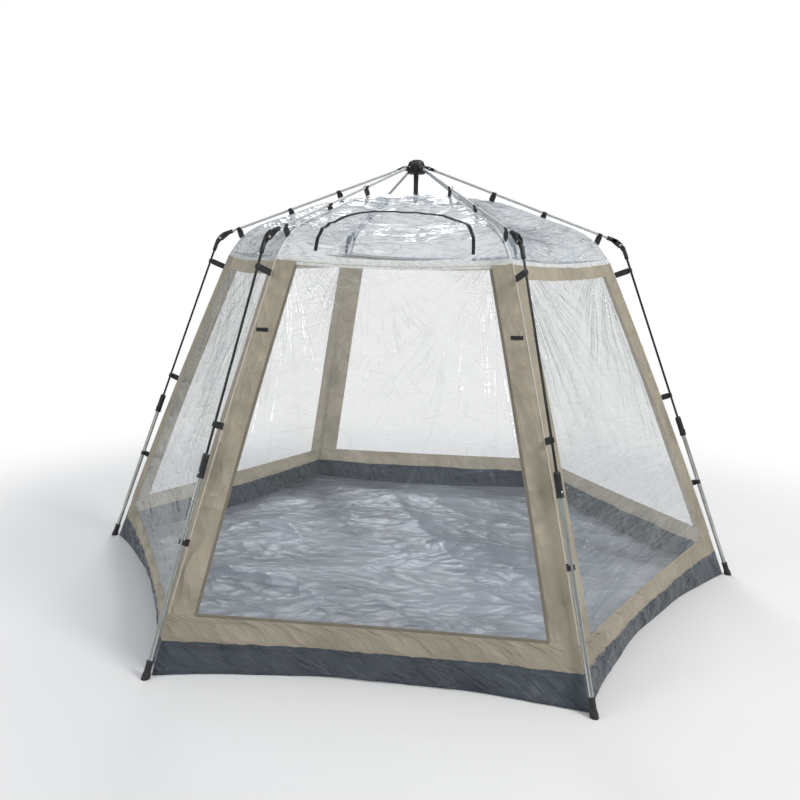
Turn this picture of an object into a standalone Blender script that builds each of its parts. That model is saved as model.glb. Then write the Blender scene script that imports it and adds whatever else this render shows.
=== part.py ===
"""Six-sided camping tent of clear film, hung inside a folding frame.

Units are metres, +Z is up, and the origin is on the ground under the hub.
The door side faces -Y. A corner's own frame has +X pointing radially out, and a
face's own frame has +X pointing out square to that side of the tent.
"""

import math

import bmesh
import bpy
from mathutils import Matrix, Vector

# Plan and heights of the frame
CORNER_AZIMUTHS = {
    "front_right": -60,
    "right": 0,
    "back_right": 60,
    "back_left": 120,
    "left": 180,
    "front_left": 240,
}
FACE_AZIMUTHS = {
    "front_right": -30,
    "back_right": 30,
    "back": 90,
    "back_left": 150,
    "front_left": 210,
}
DOOR_AZIMUTH = -90
FOOT_CIRCLE_RADIUS = 1.500
ELBOW_RADIUS = 0.916
ELBOW_HEIGHT = 1.500
HUB_PIN_RADIUS = 0.060
HUB_PIN_HEIGHT = 1.810

# Hub
HUB_BODY_RADIUS = 0.040
HUB_BODY_BELOW_PIN = 0.024
HUB_BODY_ABOVE_PIN = 0.016
HUB_EDGE = 0.004
HUB_STEM_RADIUS = 0.011
HUB_STEM_LENGTH = 0.030
HUB_EAR_THICKNESS = 0.004
HUB_EAR_RADIUS = 0.0085
HUB_EAR_ROOT_HALF_HEIGHT = 0.011
HINGE_PIN_RADIUS = 0.003
PIN_HEAD_RADIUS = 0.005
PIN_HEAD_LENGTH = 0.0015
HUB_CAP_RADIUS = 0.036
HUB_CAP_HEIGHT = 0.024
PIN_HEAD_SINK = 0.0006

# Roof ribs
RIB_RADIUS = 0.0055
RIB_EYE_RADIUS = 0.008
RIB_EYE_THICKNESS = 0.008
RIB_EYE_LENGTH = 0.034
RIB_ROD_START = 0.022
RIB_END_FROM_ELBOW = 0.026

# Elbow joints
ELBOW_AXIS_OFFSET = 0.011
ELBOW_CHEEK_RADIUS = 0.012
ELBOW_CHEEK_THICKNESS = 0.004
ELBOW_SOCKET_RADIUS = 0.0095
ELBOW_SOCKET_LENGTH = 0.045
ELBOW_BRIDGE_FROM_ELBOW = 0.024
ELBOW_BRIDGE_LENGTH = 0.026
ELBOW_BRIDGE_HALF_HEIGHT = 0.0085

# Upper leg rods
ROD_RADIUS = 0.00475
ROD_START = 0.040
ROD_INSERTION = 0.070
KNUCKLE_RADIUS = 0.008
KNUCKLE_THICKNESS = 0.0088
KNUCKLE_ROOT_START = 0.018
KNUCKLE_ROOT_END = 0.040
KNUCKLE_ROOT_HALF_HEIGHT = 0.007
KNUCKLE_SOCKET_RADIUS = 0.0085
KNUCKLE_SOCKET_START = 0.031
KNUCKLE_SOCKET_LENGTH = 0.042

# Lower leg tubes with their lock sleeves, buttons and feet
TUBE_RADIUS = 0.0085
TUBE_WALL = 0.0012
SLEEVE_FROM_ELBOW = 0.821
SLEEVE_LENGTH = 0.088
SLEEVE_RADIUS = 0.0125
SLEEVE_FLARE_RADIUS = 0.0145
SLEEVE_COLLAR_LENGTH = 0.013
SLEEVE_TAPER = 0.012
SLEEVE_EDGE = 0.002
BUTTON_RADIUS = 0.004
BUTTON_ABOVE_SLEEVE = 0.003
BUTTON_LENGTH = 0.0039
BUTTON_TIP_RADIUS = 0.0024
BUTTON_TIP_HEIGHT = 0.001
BUTTON_FROM_SLEEVE_END = 0.018
FOOT_RADIUS = 0.0145
FOOT_NECK_RADIUS = 0.0118
FOOT_LENGTH = 0.062
FOOT_SOLE = 0.022

# Canopy and tub, hung inside the frame
EAVE_INSIDE_ELBOW = 0.051
EAVE_BELOW_ELBOW = 0.080
TUB_INSIDE_FEET = 0.025
EAVE_CORNER_RADIUS = ELBOW_RADIUS - EAVE_INSIDE_ELBOW
EAVE_HEIGHT = ELBOW_HEIGHT - EAVE_BELOW_ELBOW
TUB_CORNER_RADIUS = FOOT_CIRCLE_RADIUS - TUB_INSIDE_FEET
CORNER_EDGE_BOW = 0.012
EAVE_SAG = 0.018
WALL_DRAW_IN = 0.012
GROUND_DRAW_IN = 0.075
FILM_FOLD_DEPTH = 0.006
FILM_FOLD_COUNT = 3
RIPPLE_DEPTH = 0.004
RIPPLE_COUNT = 3
BAND_TOP_HEIGHT = 0.195
TUB_WALL_HEIGHT = 0.112
CORNER_STRIP_TOP_WIDTH = 0.078
CORNER_STRIP_BOTTOM_WIDTH = 0.098
CLOTH_THICKNESS = 0.0012
SHOULDER_FROM_ELBOW = 0.116
SHOULDER_BELOW_RIB = 0.042
RIDGE_FROM_ELBOW = 0.346
RIDGE_BELOW_RIB = 0.0235
TOP_PANEL_FROM_ELBOW = 0.576
TOP_PANEL_BELOW_RIB = 0.037
ROOF_BELOW_HUB_PIN = 0.148
ROOF_SAG = 0.036
TOP_PANEL_RADIUS = ELBOW_RADIUS - TOP_PANEL_FROM_ELBOW
HANGER_PATCH_RADIUS = 0.024
HANGER_WIDTH = 0.020
HANGER_THICKNESS = 0.002

# Roof window, set in from the eave, the ridges and the top panel
WINDOW_FROM_EAVE = 0.023
WINDOW_FROM_CORNER = 0.1445
WINDOW_FROM_TOP_PANEL = 0.137
CUT_MARGIN = 0.100

# Straps and clips
STRAP_WIDTH = 0.025
STRAP_THICKNESS = 0.002
CLIP_WALL = 0.003
CLIP_LENGTH = 0.018
CLIP_OVERLAP = 0.0018
SEWN_DEPTH = 0.0007
STRAP_REACH = 0.200
LEG_STRAP_DISTANCES = (0.123, 0.714, 1.138)
RIB_STRAP_DISTANCES = (0.102, 0.363, 0.602)

# Clearances, and how far joined shapes reach into each other
OVERLAP = 0.004
RUNNING_GAP = 0.0003
PIVOT_GAP = 0.0004
CLIP_GAP = 0.0004
SEAM_GAP = 0.0009
SIDE_GAP = 0.0005
EAVE_GAP = 0.0020
STRAP_ABOVE_RIDGE = 0.0010

# How finely shapes are divided
ROD_SIDES = 8
TURNED_SIDES = 12
PIN_SIDES = 8
CLIP_SIDES = 6
HUB_SIDES = 18
SLIVER = 0.00002
WALL_COLUMNS = 8
WALL_ROWS = 8
STRIP_COLUMNS = 1
ROOF_COLUMNS = 6
ROOF_SHOULDER_ROWS = 2
ROOF_ROWS = 4
BAND_ROWS = 2
TUB_ROWS = 3
WINDOW_POINTS = 15
HUB_CAP_ROWS = 5
OUTLINE_POINTS = 10
SEARCH_STEPS = 40

COS30 = math.cos(math.pi / 6)
HALF_SIDE = 0.5
WINDOW_BASE_APOTHEM = EAVE_CORNER_RADIUS * COS30 - WINDOW_FROM_EAVE
WINDOW_HALF_WIDTH = EAVE_CORNER_RADIUS * HALF_SIDE - WINDOW_FROM_CORNER
WINDOW_DEPTH = WINDOW_BASE_APOTHEM - TOP_PANEL_RADIUS * COS30 - WINDOW_FROM_TOP_PANEL


def clear_scene():
    for old in list(bpy.data.objects):
        bpy.data.objects.remove(old)


def make_material(name, colour, roughness, metallic=0.0, alpha=1.0):
    material = bpy.data.materials.new(name)
    material.use_nodes = True
    shader = material.node_tree.nodes["Principled BSDF"]
    shader.inputs["Base Color"].default_value = (*colour, 1.0)
    shader.inputs["Roughness"].default_value = roughness
    shader.inputs["Metallic"].default_value = metallic
    shader.inputs["Alpha"].default_value = alpha
    material.diffuse_color = (*colour, alpha)
    return material


# Lines of the frame, in a corner's own frame


def hub_pin():
    return Vector((HUB_PIN_RADIUS, 0, HUB_PIN_HEIGHT))


def elbow_point():
    return Vector((ELBOW_RADIUS, 0, ELBOW_HEIGHT))


def ground_point():
    return Vector((FOOT_CIRCLE_RADIUS, 0, 0))


def rib_direction():
    return (elbow_point() - hub_pin()).normalized()


def leg_direction():
    return (ground_point() - elbow_point()).normalized()


def rib_length():
    return (elbow_point() - hub_pin()).length


def leg_length():
    return (ground_point() - elbow_point()).length


def leg_outward():
    """The direction square to a leg, up and out."""
    along = leg_direction()
    return Vector((-along.z, 0, along.x))


def elbow_pin():
    """The elbow's pin lies inside the bend, at the same offset from the rib and from the leg."""
    inward = (leg_direction() - rib_direction()).normalized()
    half_angle = inward.angle(leg_direction())
    return elbow_point() + inward * (ELBOW_AXIS_OFFSET / math.sin(half_angle))


def tube_start():
    return SLEEVE_FROM_ELBOW + SLEEVE_COLLAR_LENGTH + RUNNING_GAP


def tube_end():
    return leg_length() - FOOT_SOLE - RUNNING_GAP


# Mesh helpers


def spaced(first, last, count):
    """Evenly spaced values from first to last, in a count of steps."""
    steps = round(count)
    return [first + (last - first) * i / steps for i in range(steps + 1)]


def finish_mesh(bm, name):
    bmesh.ops.recalc_face_normals(bm, faces=bm.faces)
    mesh = bpy.data.meshes.new(name)
    bm.to_mesh(mesh)
    bm.free()
    return mesh


def turned(start, direction, profile, sides, closed=False):
    """A shape turned round an axis from (distance along, radius) pairs; closed leaves a bore through it."""
    bm = bmesh.new()
    turn = Vector((0, 0, 1)).rotation_difference(direction).to_matrix()
    rings = []
    sides = round(sides)
    for along, radius in profile:
        centre = start + direction * along
        if radius == 0:
            rings.append([bm.verts.new(centre)])
            continue
        ring = []
        for i in range(sides):
            angle = 2 * math.pi * (i + 0.5) / sides
            spoke = turn @ Vector((radius * math.cos(angle), radius * math.sin(angle), 0))
            ring.append(bm.verts.new(centre + spoke))
        rings.append(ring)
    pairs = list(zip(rings, rings[1:]))
    if closed:
        pairs.append((rings[-1], rings[0]))
    for a, b in pairs:
        for i in range(sides):
            j = (i + 1) % sides
            if len(a) == 1:
                bm.faces.new((a[0], b[i], b[j]))
            elif len(b) == 1:
                bm.faces.new((a[i], b[0], a[j]))
            else:
                bm.faces.new((a[i], b[i], b[j], a[j]))
    return finish_mesh(bm, "turned")


def rod(start, direction, first, last, radius, sides):
    return turned(start, direction, ((first, 0), (first, radius), (last, radius), (last, 0)), sides)


def convex_outline(points):
    """The convex outline of points in the XZ plane, in order."""
    ordered = sorted((p[0], p[1]) for p in points)

    def half(sequence):
        chain = []
        for p in sequence:
            while len(chain) > 1:
                (ax, az), (bx, bz) = chain[-2], chain[-1]
                if (bx - ax) * (p[1] - az) - (bz - az) * (p[0] - ax) > 1e-12:
                    break
                chain.pop()
            chain.append(p)
        return chain[:-1]

    return half(ordered) + half(reversed(ordered))


def circle_points(centre, radius):
    angles = spaced(0, 2 * math.pi, OUTLINE_POINTS)[:-1]
    return [(centre.x + radius * math.cos(a), centre.z + radius * math.sin(a)) for a in angles]


def bar_points(start, direction, first, last, half_height):
    """The four corners of a bar along a line in the XZ plane."""
    square = Vector((-direction.z, 0, direction.x))
    found = []
    for along in (first, last):
        for side in (-half_height, half_height):
            p = start + direction * along + square * side
            found.append((p.x, p.z))
    return found


def slab(points, low_y, high_y):
    """A convex outline in the XZ plane, given a thickness along Y."""
    bm = bmesh.new()
    outline = convex_outline(points)
    near = [bm.verts.new((x, low_y, z)) for x, z in outline]
    far = [bm.verts.new((x, high_y, z)) for x, z in outline]
    bm.faces.new(near)
    bm.faces.new(list(reversed(far)))
    for i in range(len(outline)):
        j = (i + 1) % len(outline)
        bm.faces.new((near[i], near[j], far[j], far[i]))
    return finish_mesh(bm, "slab")


def cross_pin(centre, half_length, radius):
    """A pin along Y, with its middle at centre."""
    return rod(centre, Vector((0, 1, 0)), -half_length, half_length, radius, PIN_SIDES)


def joined(meshes):
    """Several meshes as one mesh of separate bodies."""
    bm = bmesh.new()
    for mesh in meshes:
        bm.from_mesh(mesh)
    mesh = bpy.data.meshes.new("joined")
    bm.to_mesh(mesh)
    bm.free()
    return mesh


def combined(base, tools, operation):
    """The base mesh after an exact Boolean with each tool mesh in turn."""
    holder = bpy.data.objects.new("combined", base)
    bpy.context.collection.objects.link(holder)
    helpers = []
    for tool in tools:
        helper = bpy.data.objects.new("tool", tool)
        bpy.context.collection.objects.link(helper)
        helpers.append(helper)
        cut = holder.modifiers.new("cut", "BOOLEAN")
        cut.operation = operation
        cut.solver = "EXACT"
        cut.object = helper
    bpy.context.view_layer.update()
    depsgraph = bpy.context.evaluated_depsgraph_get()
    result = bpy.data.meshes.new_from_object(holder.evaluated_get(depsgraph))
    for helper in [holder, *helpers]:
        bpy.data.objects.remove(helper)
    return without_slivers(result)


def without_slivers(mesh):
    """The mesh in flat triangles, with the tiny edges and thin triangles that a Boolean leaves taken out."""
    bm = bmesh.new()
    bm.from_mesh(mesh)
    bmesh.ops.remove_doubles(bm, verts=bm.verts, dist=SLIVER)
    bmesh.ops.dissolve_degenerate(bm, edges=bm.edges, dist=SLIVER)
    bmesh.ops.triangulate(bm, faces=bm.faces)
    thin = [face for face in bm.faces if triangle_height(face) < SLIVER]
    for face in thin:
        if face.is_valid and triangle_height(face) < SLIVER:
            longest = max(face.edges, key=lambda edge: edge.calc_length())
            bmesh.utils.edge_rotate(longest, True)
    bm.to_mesh(mesh)
    bm.free()
    return mesh


def triangle_height(face):
    """The height of a triangle over its longest edge."""
    return 2 * face.calc_area() / max(edge.calc_length() for edge in face.edges)


def united(base, *tools):
    return combined(base, tools, "UNION")


def cut_from(base, *tools):
    return combined(base, tools, "DIFFERENCE")


def shared_by(base, tool):
    return combined(base, [tool], "INTERSECT")


def thickened(mesh, thickness):
    """A sheet whose faces point out, in triangles, given its thickness on the inner side."""
    holder = bpy.data.objects.new("sheet", without_slivers(mesh))
    bpy.context.collection.objects.link(holder)
    solid = holder.modifiers.new("thickness", "SOLIDIFY")
    solid.thickness = thickness
    solid.offset = -1
    bpy.context.view_layer.update()
    depsgraph = bpy.context.evaluated_depsgraph_get()
    result = bpy.data.meshes.new_from_object(holder.evaluated_get(depsgraph))
    bpy.data.objects.remove(holder)
    return without_slivers(result)


def sheet_from_grid(grid, name):
    """A sheet through a grid of points, rows first, with its faces pointing away from the tent's middle."""
    bm = bmesh.new()
    rows = [[bm.verts.new(p) for p in row] for row in grid]
    for upper, lower in zip(rows, rows[1:]):
        for i in range(len(upper) - 1):
            bm.faces.new((upper[i], upper[i + 1], lower[i + 1], lower[i]))
    bmesh.ops.remove_doubles(bm, verts=bm.verts, dist=SLIVER)
    bm.normal_update()
    middle = Vector((0, 0, EAVE_HEIGHT / 2))
    facing = sum((f.calc_center_median() - middle).dot(f.normal) * f.calc_area() for f in bm.faces)
    if facing < 0:
        bmesh.ops.reverse_faces(bm, faces=bm.faces)
    mesh = bpy.data.meshes.new(name)
    bm.to_mesh(mesh)
    bm.free()
    return mesh


# Placing pieces


def place(name, mesh, material, azimuth=0, holder=None):
    """A named piece made from a shared mesh, turned to its corner or side, and held by its hinge or slide."""
    piece = bpy.data.objects.new(name, mesh)
    piece.rotation_euler.z = math.radians(azimuth)
    piece.data.materials.clear()
    piece.data.materials.append(material)
    piece.data.shade_smooth()
    piece.data.set_sharp_from_angle(angle=math.radians(35))
    bpy.context.collection.objects.link(piece)
    if holder is not None:
        piece.parent = holder
        piece.matrix_parent_inverse = holder.matrix_world.inverted()
    return piece


def joint_empty(name, local_point, azimuth=0, parent=None):
    """An empty on a joint's axis, which the pieces of the moving body hang from."""
    empty = bpy.data.objects.new(name, None)
    empty.location = Matrix.Rotation(math.radians(azimuth), 4, "Z") @ local_point
    bpy.context.collection.objects.link(empty)
    if parent is not None:
        empty.parent = parent
        empty.matrix_parent_inverse = parent.matrix_world.inverted()
    bpy.context.view_layer.update()
    return empty


# Hub


def hub_mesh():
    low = HUB_PIN_HEIGHT - HUB_BODY_BELOW_PIN
    high = HUB_PIN_HEIGHT + HUB_BODY_ABOVE_PIN
    profile = (
        (low - HUB_STEM_LENGTH, 0),
        (low - HUB_STEM_LENGTH, HUB_STEM_RADIUS),
        (low, HUB_STEM_RADIUS),
        (low, HUB_BODY_RADIUS - HUB_EDGE),
        (low + HUB_EDGE, HUB_BODY_RADIUS),
        (high - HUB_EDGE, HUB_BODY_RADIUS),
        (high, HUB_BODY_RADIUS - HUB_EDGE),
        (high, 0),
    )
    up = Vector((0, 0, 1))
    body = turned(Vector(), up, profile, HUB_SIDES)
    ear_inner = RIB_EYE_THICKNESS / 2 + RUNNING_GAP
    ear_outer = ear_inner + HUB_EAR_THICKNESS
    pin = hub_pin()
    root_end = HUB_BODY_RADIUS - HUB_EDGE
    root_start = root_end - 2 * OVERLAP
    root = bar_points(Vector((0, 0, pin.z)), Vector((1, 0, 0)), root_start, root_end, HUB_EAR_ROOT_HALF_HEIGHT)
    outline = circle_points(pin, HUB_EAR_RADIUS) + root
    corner = united(
        slab(outline, ear_inner, ear_outer),
        cross_pin(pin, ear_outer + PIN_HEAD_LENGTH / 2, HINGE_PIN_RADIUS),
        slab(outline, -ear_outer, -ear_inner),
    )
    corners = []
    for azimuth in CORNER_AZIMUTHS.values():
        turned_corner = corner.copy()
        turned_corner.transform(Matrix.Rotation(math.radians(azimuth), 4, "Z"))
        corners.append(turned_corner)
    return united(body, joined(corners))


def hub_cap_mesh():
    base = HUB_PIN_HEIGHT + HUB_BODY_ABOVE_PIN + RUNNING_GAP
    profile = [(base, 0), (base, HUB_CAP_RADIUS)]
    for angle in spaced(0, math.pi / 2, HUB_CAP_ROWS)[1:-1]:
        profile.append((base + HUB_CAP_HEIGHT * math.sin(angle), HUB_CAP_RADIUS * math.cos(angle)))
    profile.append((base + HUB_CAP_HEIGHT, 0))
    return turned(Vector(), Vector((0, 0, 1)), profile, HUB_SIDES)


# Frame members of one corner


def rib_mesh():
    pin = hub_pin()
    along = rib_direction()
    half = RIB_EYE_THICKNESS / 2
    eye = slab(
        circle_points(pin, RIB_EYE_RADIUS) + bar_points(pin, along, RIB_EYE_RADIUS, RIB_EYE_LENGTH, RIB_RADIUS),
        -half,
        half,
    )
    bar = rod(pin, along, RIB_ROD_START, rib_length() - RIB_END_FROM_ELBOW, RIB_RADIUS, ROD_SIDES)
    bore = cross_pin(pin, RIB_EYE_THICKNESS, HINGE_PIN_RADIUS + RUNNING_GAP)
    return cut_from(united(eye, bar), bore)


def elbow_mesh():
    along = -rib_direction()
    corner = elbow_point()
    pin = elbow_pin()
    bridge_end = ELBOW_BRIDGE_FROM_ELBOW + ELBOW_BRIDGE_LENGTH
    bridge = bar_points(corner, along, ELBOW_BRIDGE_FROM_ELBOW, bridge_end, ELBOW_BRIDGE_HALF_HEIGHT)
    inner = KNUCKLE_THICKNESS / 2 + PIVOT_GAP
    outer = inner + ELBOW_CHEEK_THICKNESS
    cheek = circle_points(pin, ELBOW_CHEEK_RADIUS) + bridge
    socket_end = ELBOW_BRIDGE_FROM_ELBOW + ELBOW_SOCKET_LENGTH
    socket = rod(corner, along, bridge_end - OVERLAP, socket_end, ELBOW_SOCKET_RADIUS, TURNED_SIDES)
    solid = united(
        slab(bridge, -outer, outer),
        slab(cheek, inner, outer),
        slab(cheek, -outer, -inner),
        cross_pin(pin, outer + PIN_HEAD_LENGTH / 2, HINGE_PIN_RADIUS),
        socket,
    )
    heads = []
    for side in (-1, 1):
        place_y = side * (outer + PIN_HEAD_LENGTH / 2)
        half = (PIN_HEAD_LENGTH + PIN_HEAD_SINK) / 2
        heads.append(cross_pin(pin + Vector((0, place_y, 0)), half, PIN_HEAD_RADIUS))
    bore = rod(
        corner,
        along,
        RIB_END_FROM_ELBOW - RUNNING_GAP,
        socket_end + OVERLAP,
        RIB_RADIUS + RUNNING_GAP,
        ROD_SIDES,
    )
    return cut_from(united(solid, *heads), bore)


def leg_rod_mesh():
    along = leg_direction()
    corner = elbow_point()
    pin = elbow_pin()
    half = KNUCKLE_THICKNESS / 2
    root = bar_points(corner, along, KNUCKLE_ROOT_START, KNUCKLE_ROOT_END, KNUCKLE_ROOT_HALF_HEIGHT)
    tongue = slab(circle_points(pin, KNUCKLE_RADIUS) + root, -half, half)
    socket_end = KNUCKLE_SOCKET_START + KNUCKLE_SOCKET_LENGTH
    socket = rod(corner, along, KNUCKLE_SOCKET_START, socket_end, KNUCKLE_SOCKET_RADIUS, TURNED_SIDES)
    bar = rod(corner, along, ROD_START, tube_start() + ROD_INSERTION, ROD_RADIUS, ROD_SIDES)
    bore = cross_pin(pin, KNUCKLE_THICKNESS, HINGE_PIN_RADIUS + RUNNING_GAP)
    return cut_from(united(tongue, socket, bar), bore)


def lock_sleeve_mesh():
    """A collar that guides the rod, over a wider bore that grips the tube."""
    guide = ROD_RADIUS + PIVOT_GAP
    grip = TUBE_RADIUS + RUNNING_GAP
    profile = (
        (0, guide),
        (0, SLEEVE_RADIUS - SLEEVE_EDGE),
        (SLEEVE_TAPER, SLEEVE_RADIUS),
        (SLEEVE_LENGTH - SLEEVE_TAPER, SLEEVE_RADIUS),
        (SLEEVE_LENGTH, SLEEVE_FLARE_RADIUS),
        (SLEEVE_LENGTH, grip),
        (SLEEVE_COLLAR_LENGTH, grip),
        (SLEEVE_COLLAR_LENGTH, guide),
    )
    top = elbow_point() + leg_direction() * SLEEVE_FROM_ELBOW
    sleeve = turned(top, leg_direction(), profile, TURNED_SIDES, closed=True)
    low, high = TUBE_RADIUS - TUBE_WALL, SLEEVE_FLARE_RADIUS + OVERLAP
    hole = rod(button_centre(), leg_outward(), low, high, BUTTON_RADIUS + RUNNING_GAP, PIN_SIDES)
    return cut_from(sleeve, hole)


def button_centre():
    """The point on the leg's axis that the lock button points at."""
    return elbow_point() + leg_direction() * (SLEEVE_FROM_ELBOW + SLEEVE_LENGTH - BUTTON_FROM_SLEEVE_END)


def lock_button_mesh():
    top = SLEEVE_RADIUS + BUTTON_ABOVE_SLEEVE
    profile = (
        (top - BUTTON_LENGTH, 0),
        (top - BUTTON_LENGTH, BUTTON_RADIUS),
        (top - BUTTON_TIP_HEIGHT, BUTTON_RADIUS),
        (top, BUTTON_TIP_RADIUS),
        (top, 0),
    )
    return turned(button_centre(), leg_outward(), profile, PIN_SIDES)


def lower_tube_mesh():
    inner = TUBE_RADIUS - TUBE_WALL
    profile = (
        (tube_start(), inner),
        (tube_start(), TUBE_RADIUS),
        (tube_end(), TUBE_RADIUS),
        (tube_end(), inner),
    )
    return turned(elbow_point(), leg_direction(), profile, TURNED_SIDES, closed=True)


def foot_mesh():
    """A rubber foot round the end of the tube, cut flat on the ground."""
    floor_distance = leg_length()
    mouth = floor_distance - FOOT_LENGTH
    inner = TUBE_RADIUS + RUNNING_GAP
    profile = (
        (floor_distance - FOOT_SOLE, 0),
        (floor_distance - FOOT_SOLE, inner),
        (mouth, inner),
        (mouth, FOOT_NECK_RADIUS),
        (floor_distance - FOOT_SOLE, FOOT_NECK_RADIUS),
        (floor_distance - FOOT_SOLE / 2, FOOT_RADIUS),
        (floor_distance + FOOT_RADIUS, FOOT_RADIUS),
        (floor_distance + FOOT_RADIUS, 0),
    )
    blank = turned(elbow_point(), leg_direction(), profile, TURNED_SIDES)
    reach = 3 * FOOT_LENGTH
    outline = [
        (FOOT_CIRCLE_RADIUS - reach, 0),
        (FOOT_CIRCLE_RADIUS + reach, 0),
        (FOOT_CIRCLE_RADIUS + reach, -reach),
        (FOOT_CIRCLE_RADIUS - reach, -reach),
    ]
    return cut_from(blank, slab(outline, -reach, reach))


# Cloth surfaces


def corner_edge_radius(height):
    """The radius of the canopy's corner edge at a height."""
    down = (EAVE_HEIGHT - height) / EAVE_HEIGHT
    straight = EAVE_CORNER_RADIUS + (TUB_CORNER_RADIUS - EAVE_CORNER_RADIUS) * down
    return straight + CORNER_EDGE_BOW * 4 * down * (1 - down)


def draw_in(height):
    """How far a side is drawn in at its middle."""
    if height >= BAND_TOP_HEIGHT:
        return WALL_DRAW_IN
    below = (BAND_TOP_HEIGHT - height) / BAND_TOP_HEIGHT
    return WALL_DRAW_IN + GROUND_DRAW_IN * below**1.5


def side_point(across, height):
    """A point of a side in its own frame; across runs from -1 to 1 between its corner edges."""
    radius = corner_edge_radius(height)
    slack = 1 - across * across
    share = max(0.0, (height - BAND_TOP_HEIGHT) / (EAVE_HEIGHT - BAND_TOP_HEIGHT))
    out = radius * COS30 - draw_in(height) * slack + fold(across, height) * slack
    return Vector((out, across * radius * HALF_SIDE, height - EAVE_SAG * slack * share))


def fold(across, height):
    """Broad folds slant down across a film panel, and the cloth below it ripples towards the ground."""
    if height >= BAND_TOP_HEIGHT:
        share = (height - BAND_TOP_HEIGHT) / (EAVE_HEIGHT - BAND_TOP_HEIGHT)
        phase = math.pi * FILM_FOLD_COUNT * (across / 2 + share)
        return FILM_FOLD_DEPTH * math.sin(phase) * 4 * share * (1 - share)
    below = (BAND_TOP_HEIGHT - height) / BAND_TOP_HEIGHT
    return RIPPLE_DEPTH * math.sin(math.pi * RIPPLE_COUNT * across) * below


def strip_width(height):
    """The corner strips widen a little towards the ground."""
    down = (EAVE_HEIGHT - height) / EAVE_HEIGHT
    return CORNER_STRIP_TOP_WIDTH + (CORNER_STRIP_BOTTOM_WIDTH - CORNER_STRIP_TOP_WIDTH) * down


def wall_mesh():
    """One clear side panel, between two corner strips, from the eave to the bottom band."""
    grid = []
    for height in spaced(EAVE_HEIGHT - SEAM_GAP, BAND_TOP_HEIGHT + SEAM_GAP, WALL_ROWS):
        half = corner_edge_radius(height) * HALF_SIDE
        edge = (half - strip_width(height) - SIDE_GAP) / half
        grid.append([side_point(across, height) for across in spaced(-edge, edge, WALL_COLUMNS)])
    return thickened(sheet_from_grid(grid, "wall"), CLOTH_THICKNESS)


def corner_strip_mesh():
    """A strip folded along its corner edge, with the straps that clip it to the leg."""
    grid = []
    for height in spaced(EAVE_HEIGHT - SEAM_GAP, BAND_TOP_HEIGHT + SEAM_GAP, WALL_ROWS):
        half = corner_edge_radius(height) * HALF_SIDE
        inner = (half - strip_width(height)) / half
        left = Matrix.Rotation(math.radians(-30), 3, "Z")
        right = Matrix.Rotation(math.radians(30), 3, "Z")
        row = [left @ side_point(across, height) for across in spaced(inner, 1, STRIP_COLUMNS)]
        row += [right @ side_point(-across, height) for across in spaced(1, inner, STRIP_COLUMNS)[1:]]
        grid.append(row)
    strip = thickened(sheet_from_grid(grid, "corner_strip"), CLOTH_THICKNESS)
    straps = [leg_strap_mesh(distance) for distance in LEG_STRAP_DISTANCES]
    return united(strip, joined(straps))


def strap_and_clip(hold, sewn, along, pole_radius):
    """A strap from its sewn end to a clip round a pole; hold is a point on the pole's axis."""
    out = (hold - sewn).normalized()
    reach = (hold - sewn).length
    ring_inner = (pole_radius + CLIP_GAP) / math.cos(math.pi / CLIP_SIDES)
    ring_outer = ring_inner + CLIP_WALL
    half = CLIP_LENGTH / 2
    ring_profile = ((-half, ring_inner), (-half, ring_outer), (half, ring_outer), (half, ring_inner))
    ring = turned(hold, along, ring_profile, CLIP_SIDES, closed=True)
    square = Vector((-out.z, 0, out.x))
    outline = []
    for distance in (-SEWN_DEPTH, reach - ring_outer + CLIP_OVERLAP):
        for side in (-STRAP_WIDTH / 2, STRAP_WIDTH / 2):
            p = sewn + out * distance + square * side
            outline.append((p.x, p.z))
    return united(ring, slab(outline, -STRAP_THICKNESS / 2, STRAP_THICKNESS / 2))


def sewn_point(hold, direction, still_outside):
    """Where a strap from a pole towards the cloth meets it, found by halving."""
    low, high = 0.0, STRAP_REACH
    for _ in range(SEARCH_STEPS):
        middle = (low + high) / 2
        if still_outside(hold + direction * middle):
            low = middle
        else:
            high = middle
    return hold + direction * high


def leg_strap_mesh(distance):
    """A strap square to the leg, at a distance from the elbow, from the corner edge out to the pole."""
    hold = elbow_point() + leg_direction() * distance
    sewn = sewn_point(hold, -leg_outward(), lambda p: p.x > corner_edge_radius(p.z))
    on_tube = distance > SLEEVE_FROM_ELBOW + SLEEVE_LENGTH
    return strap_and_clip(hold, sewn, leg_direction(), TUBE_RADIUS if on_tube else ROD_RADIUS)


def rib_height(radius):
    """The height of the rib's axis at a radius."""
    slope = rib_direction().z / rib_direction().x
    return HUB_PIN_HEIGHT + slope * (radius - HUB_PIN_RADIUS)


def ridge_points():
    """Points of the roof's ridge line, from the eave to the middle, hung at set distances under the rib."""
    points = [(EAVE_CORNER_RADIUS, EAVE_HEIGHT)]
    for from_elbow, below_rib in (
        (SHOULDER_FROM_ELBOW, SHOULDER_BELOW_RIB),
        (RIDGE_FROM_ELBOW, RIDGE_BELOW_RIB),
        (TOP_PANEL_FROM_ELBOW, TOP_PANEL_BELOW_RIB),
    ):
        radius = ELBOW_RADIUS - from_elbow
        points.append((radius, rib_height(radius) - below_rib))
    points.append((0.0, HUB_PIN_HEIGHT - ROOF_BELOW_HUB_PIN))
    return points


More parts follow.
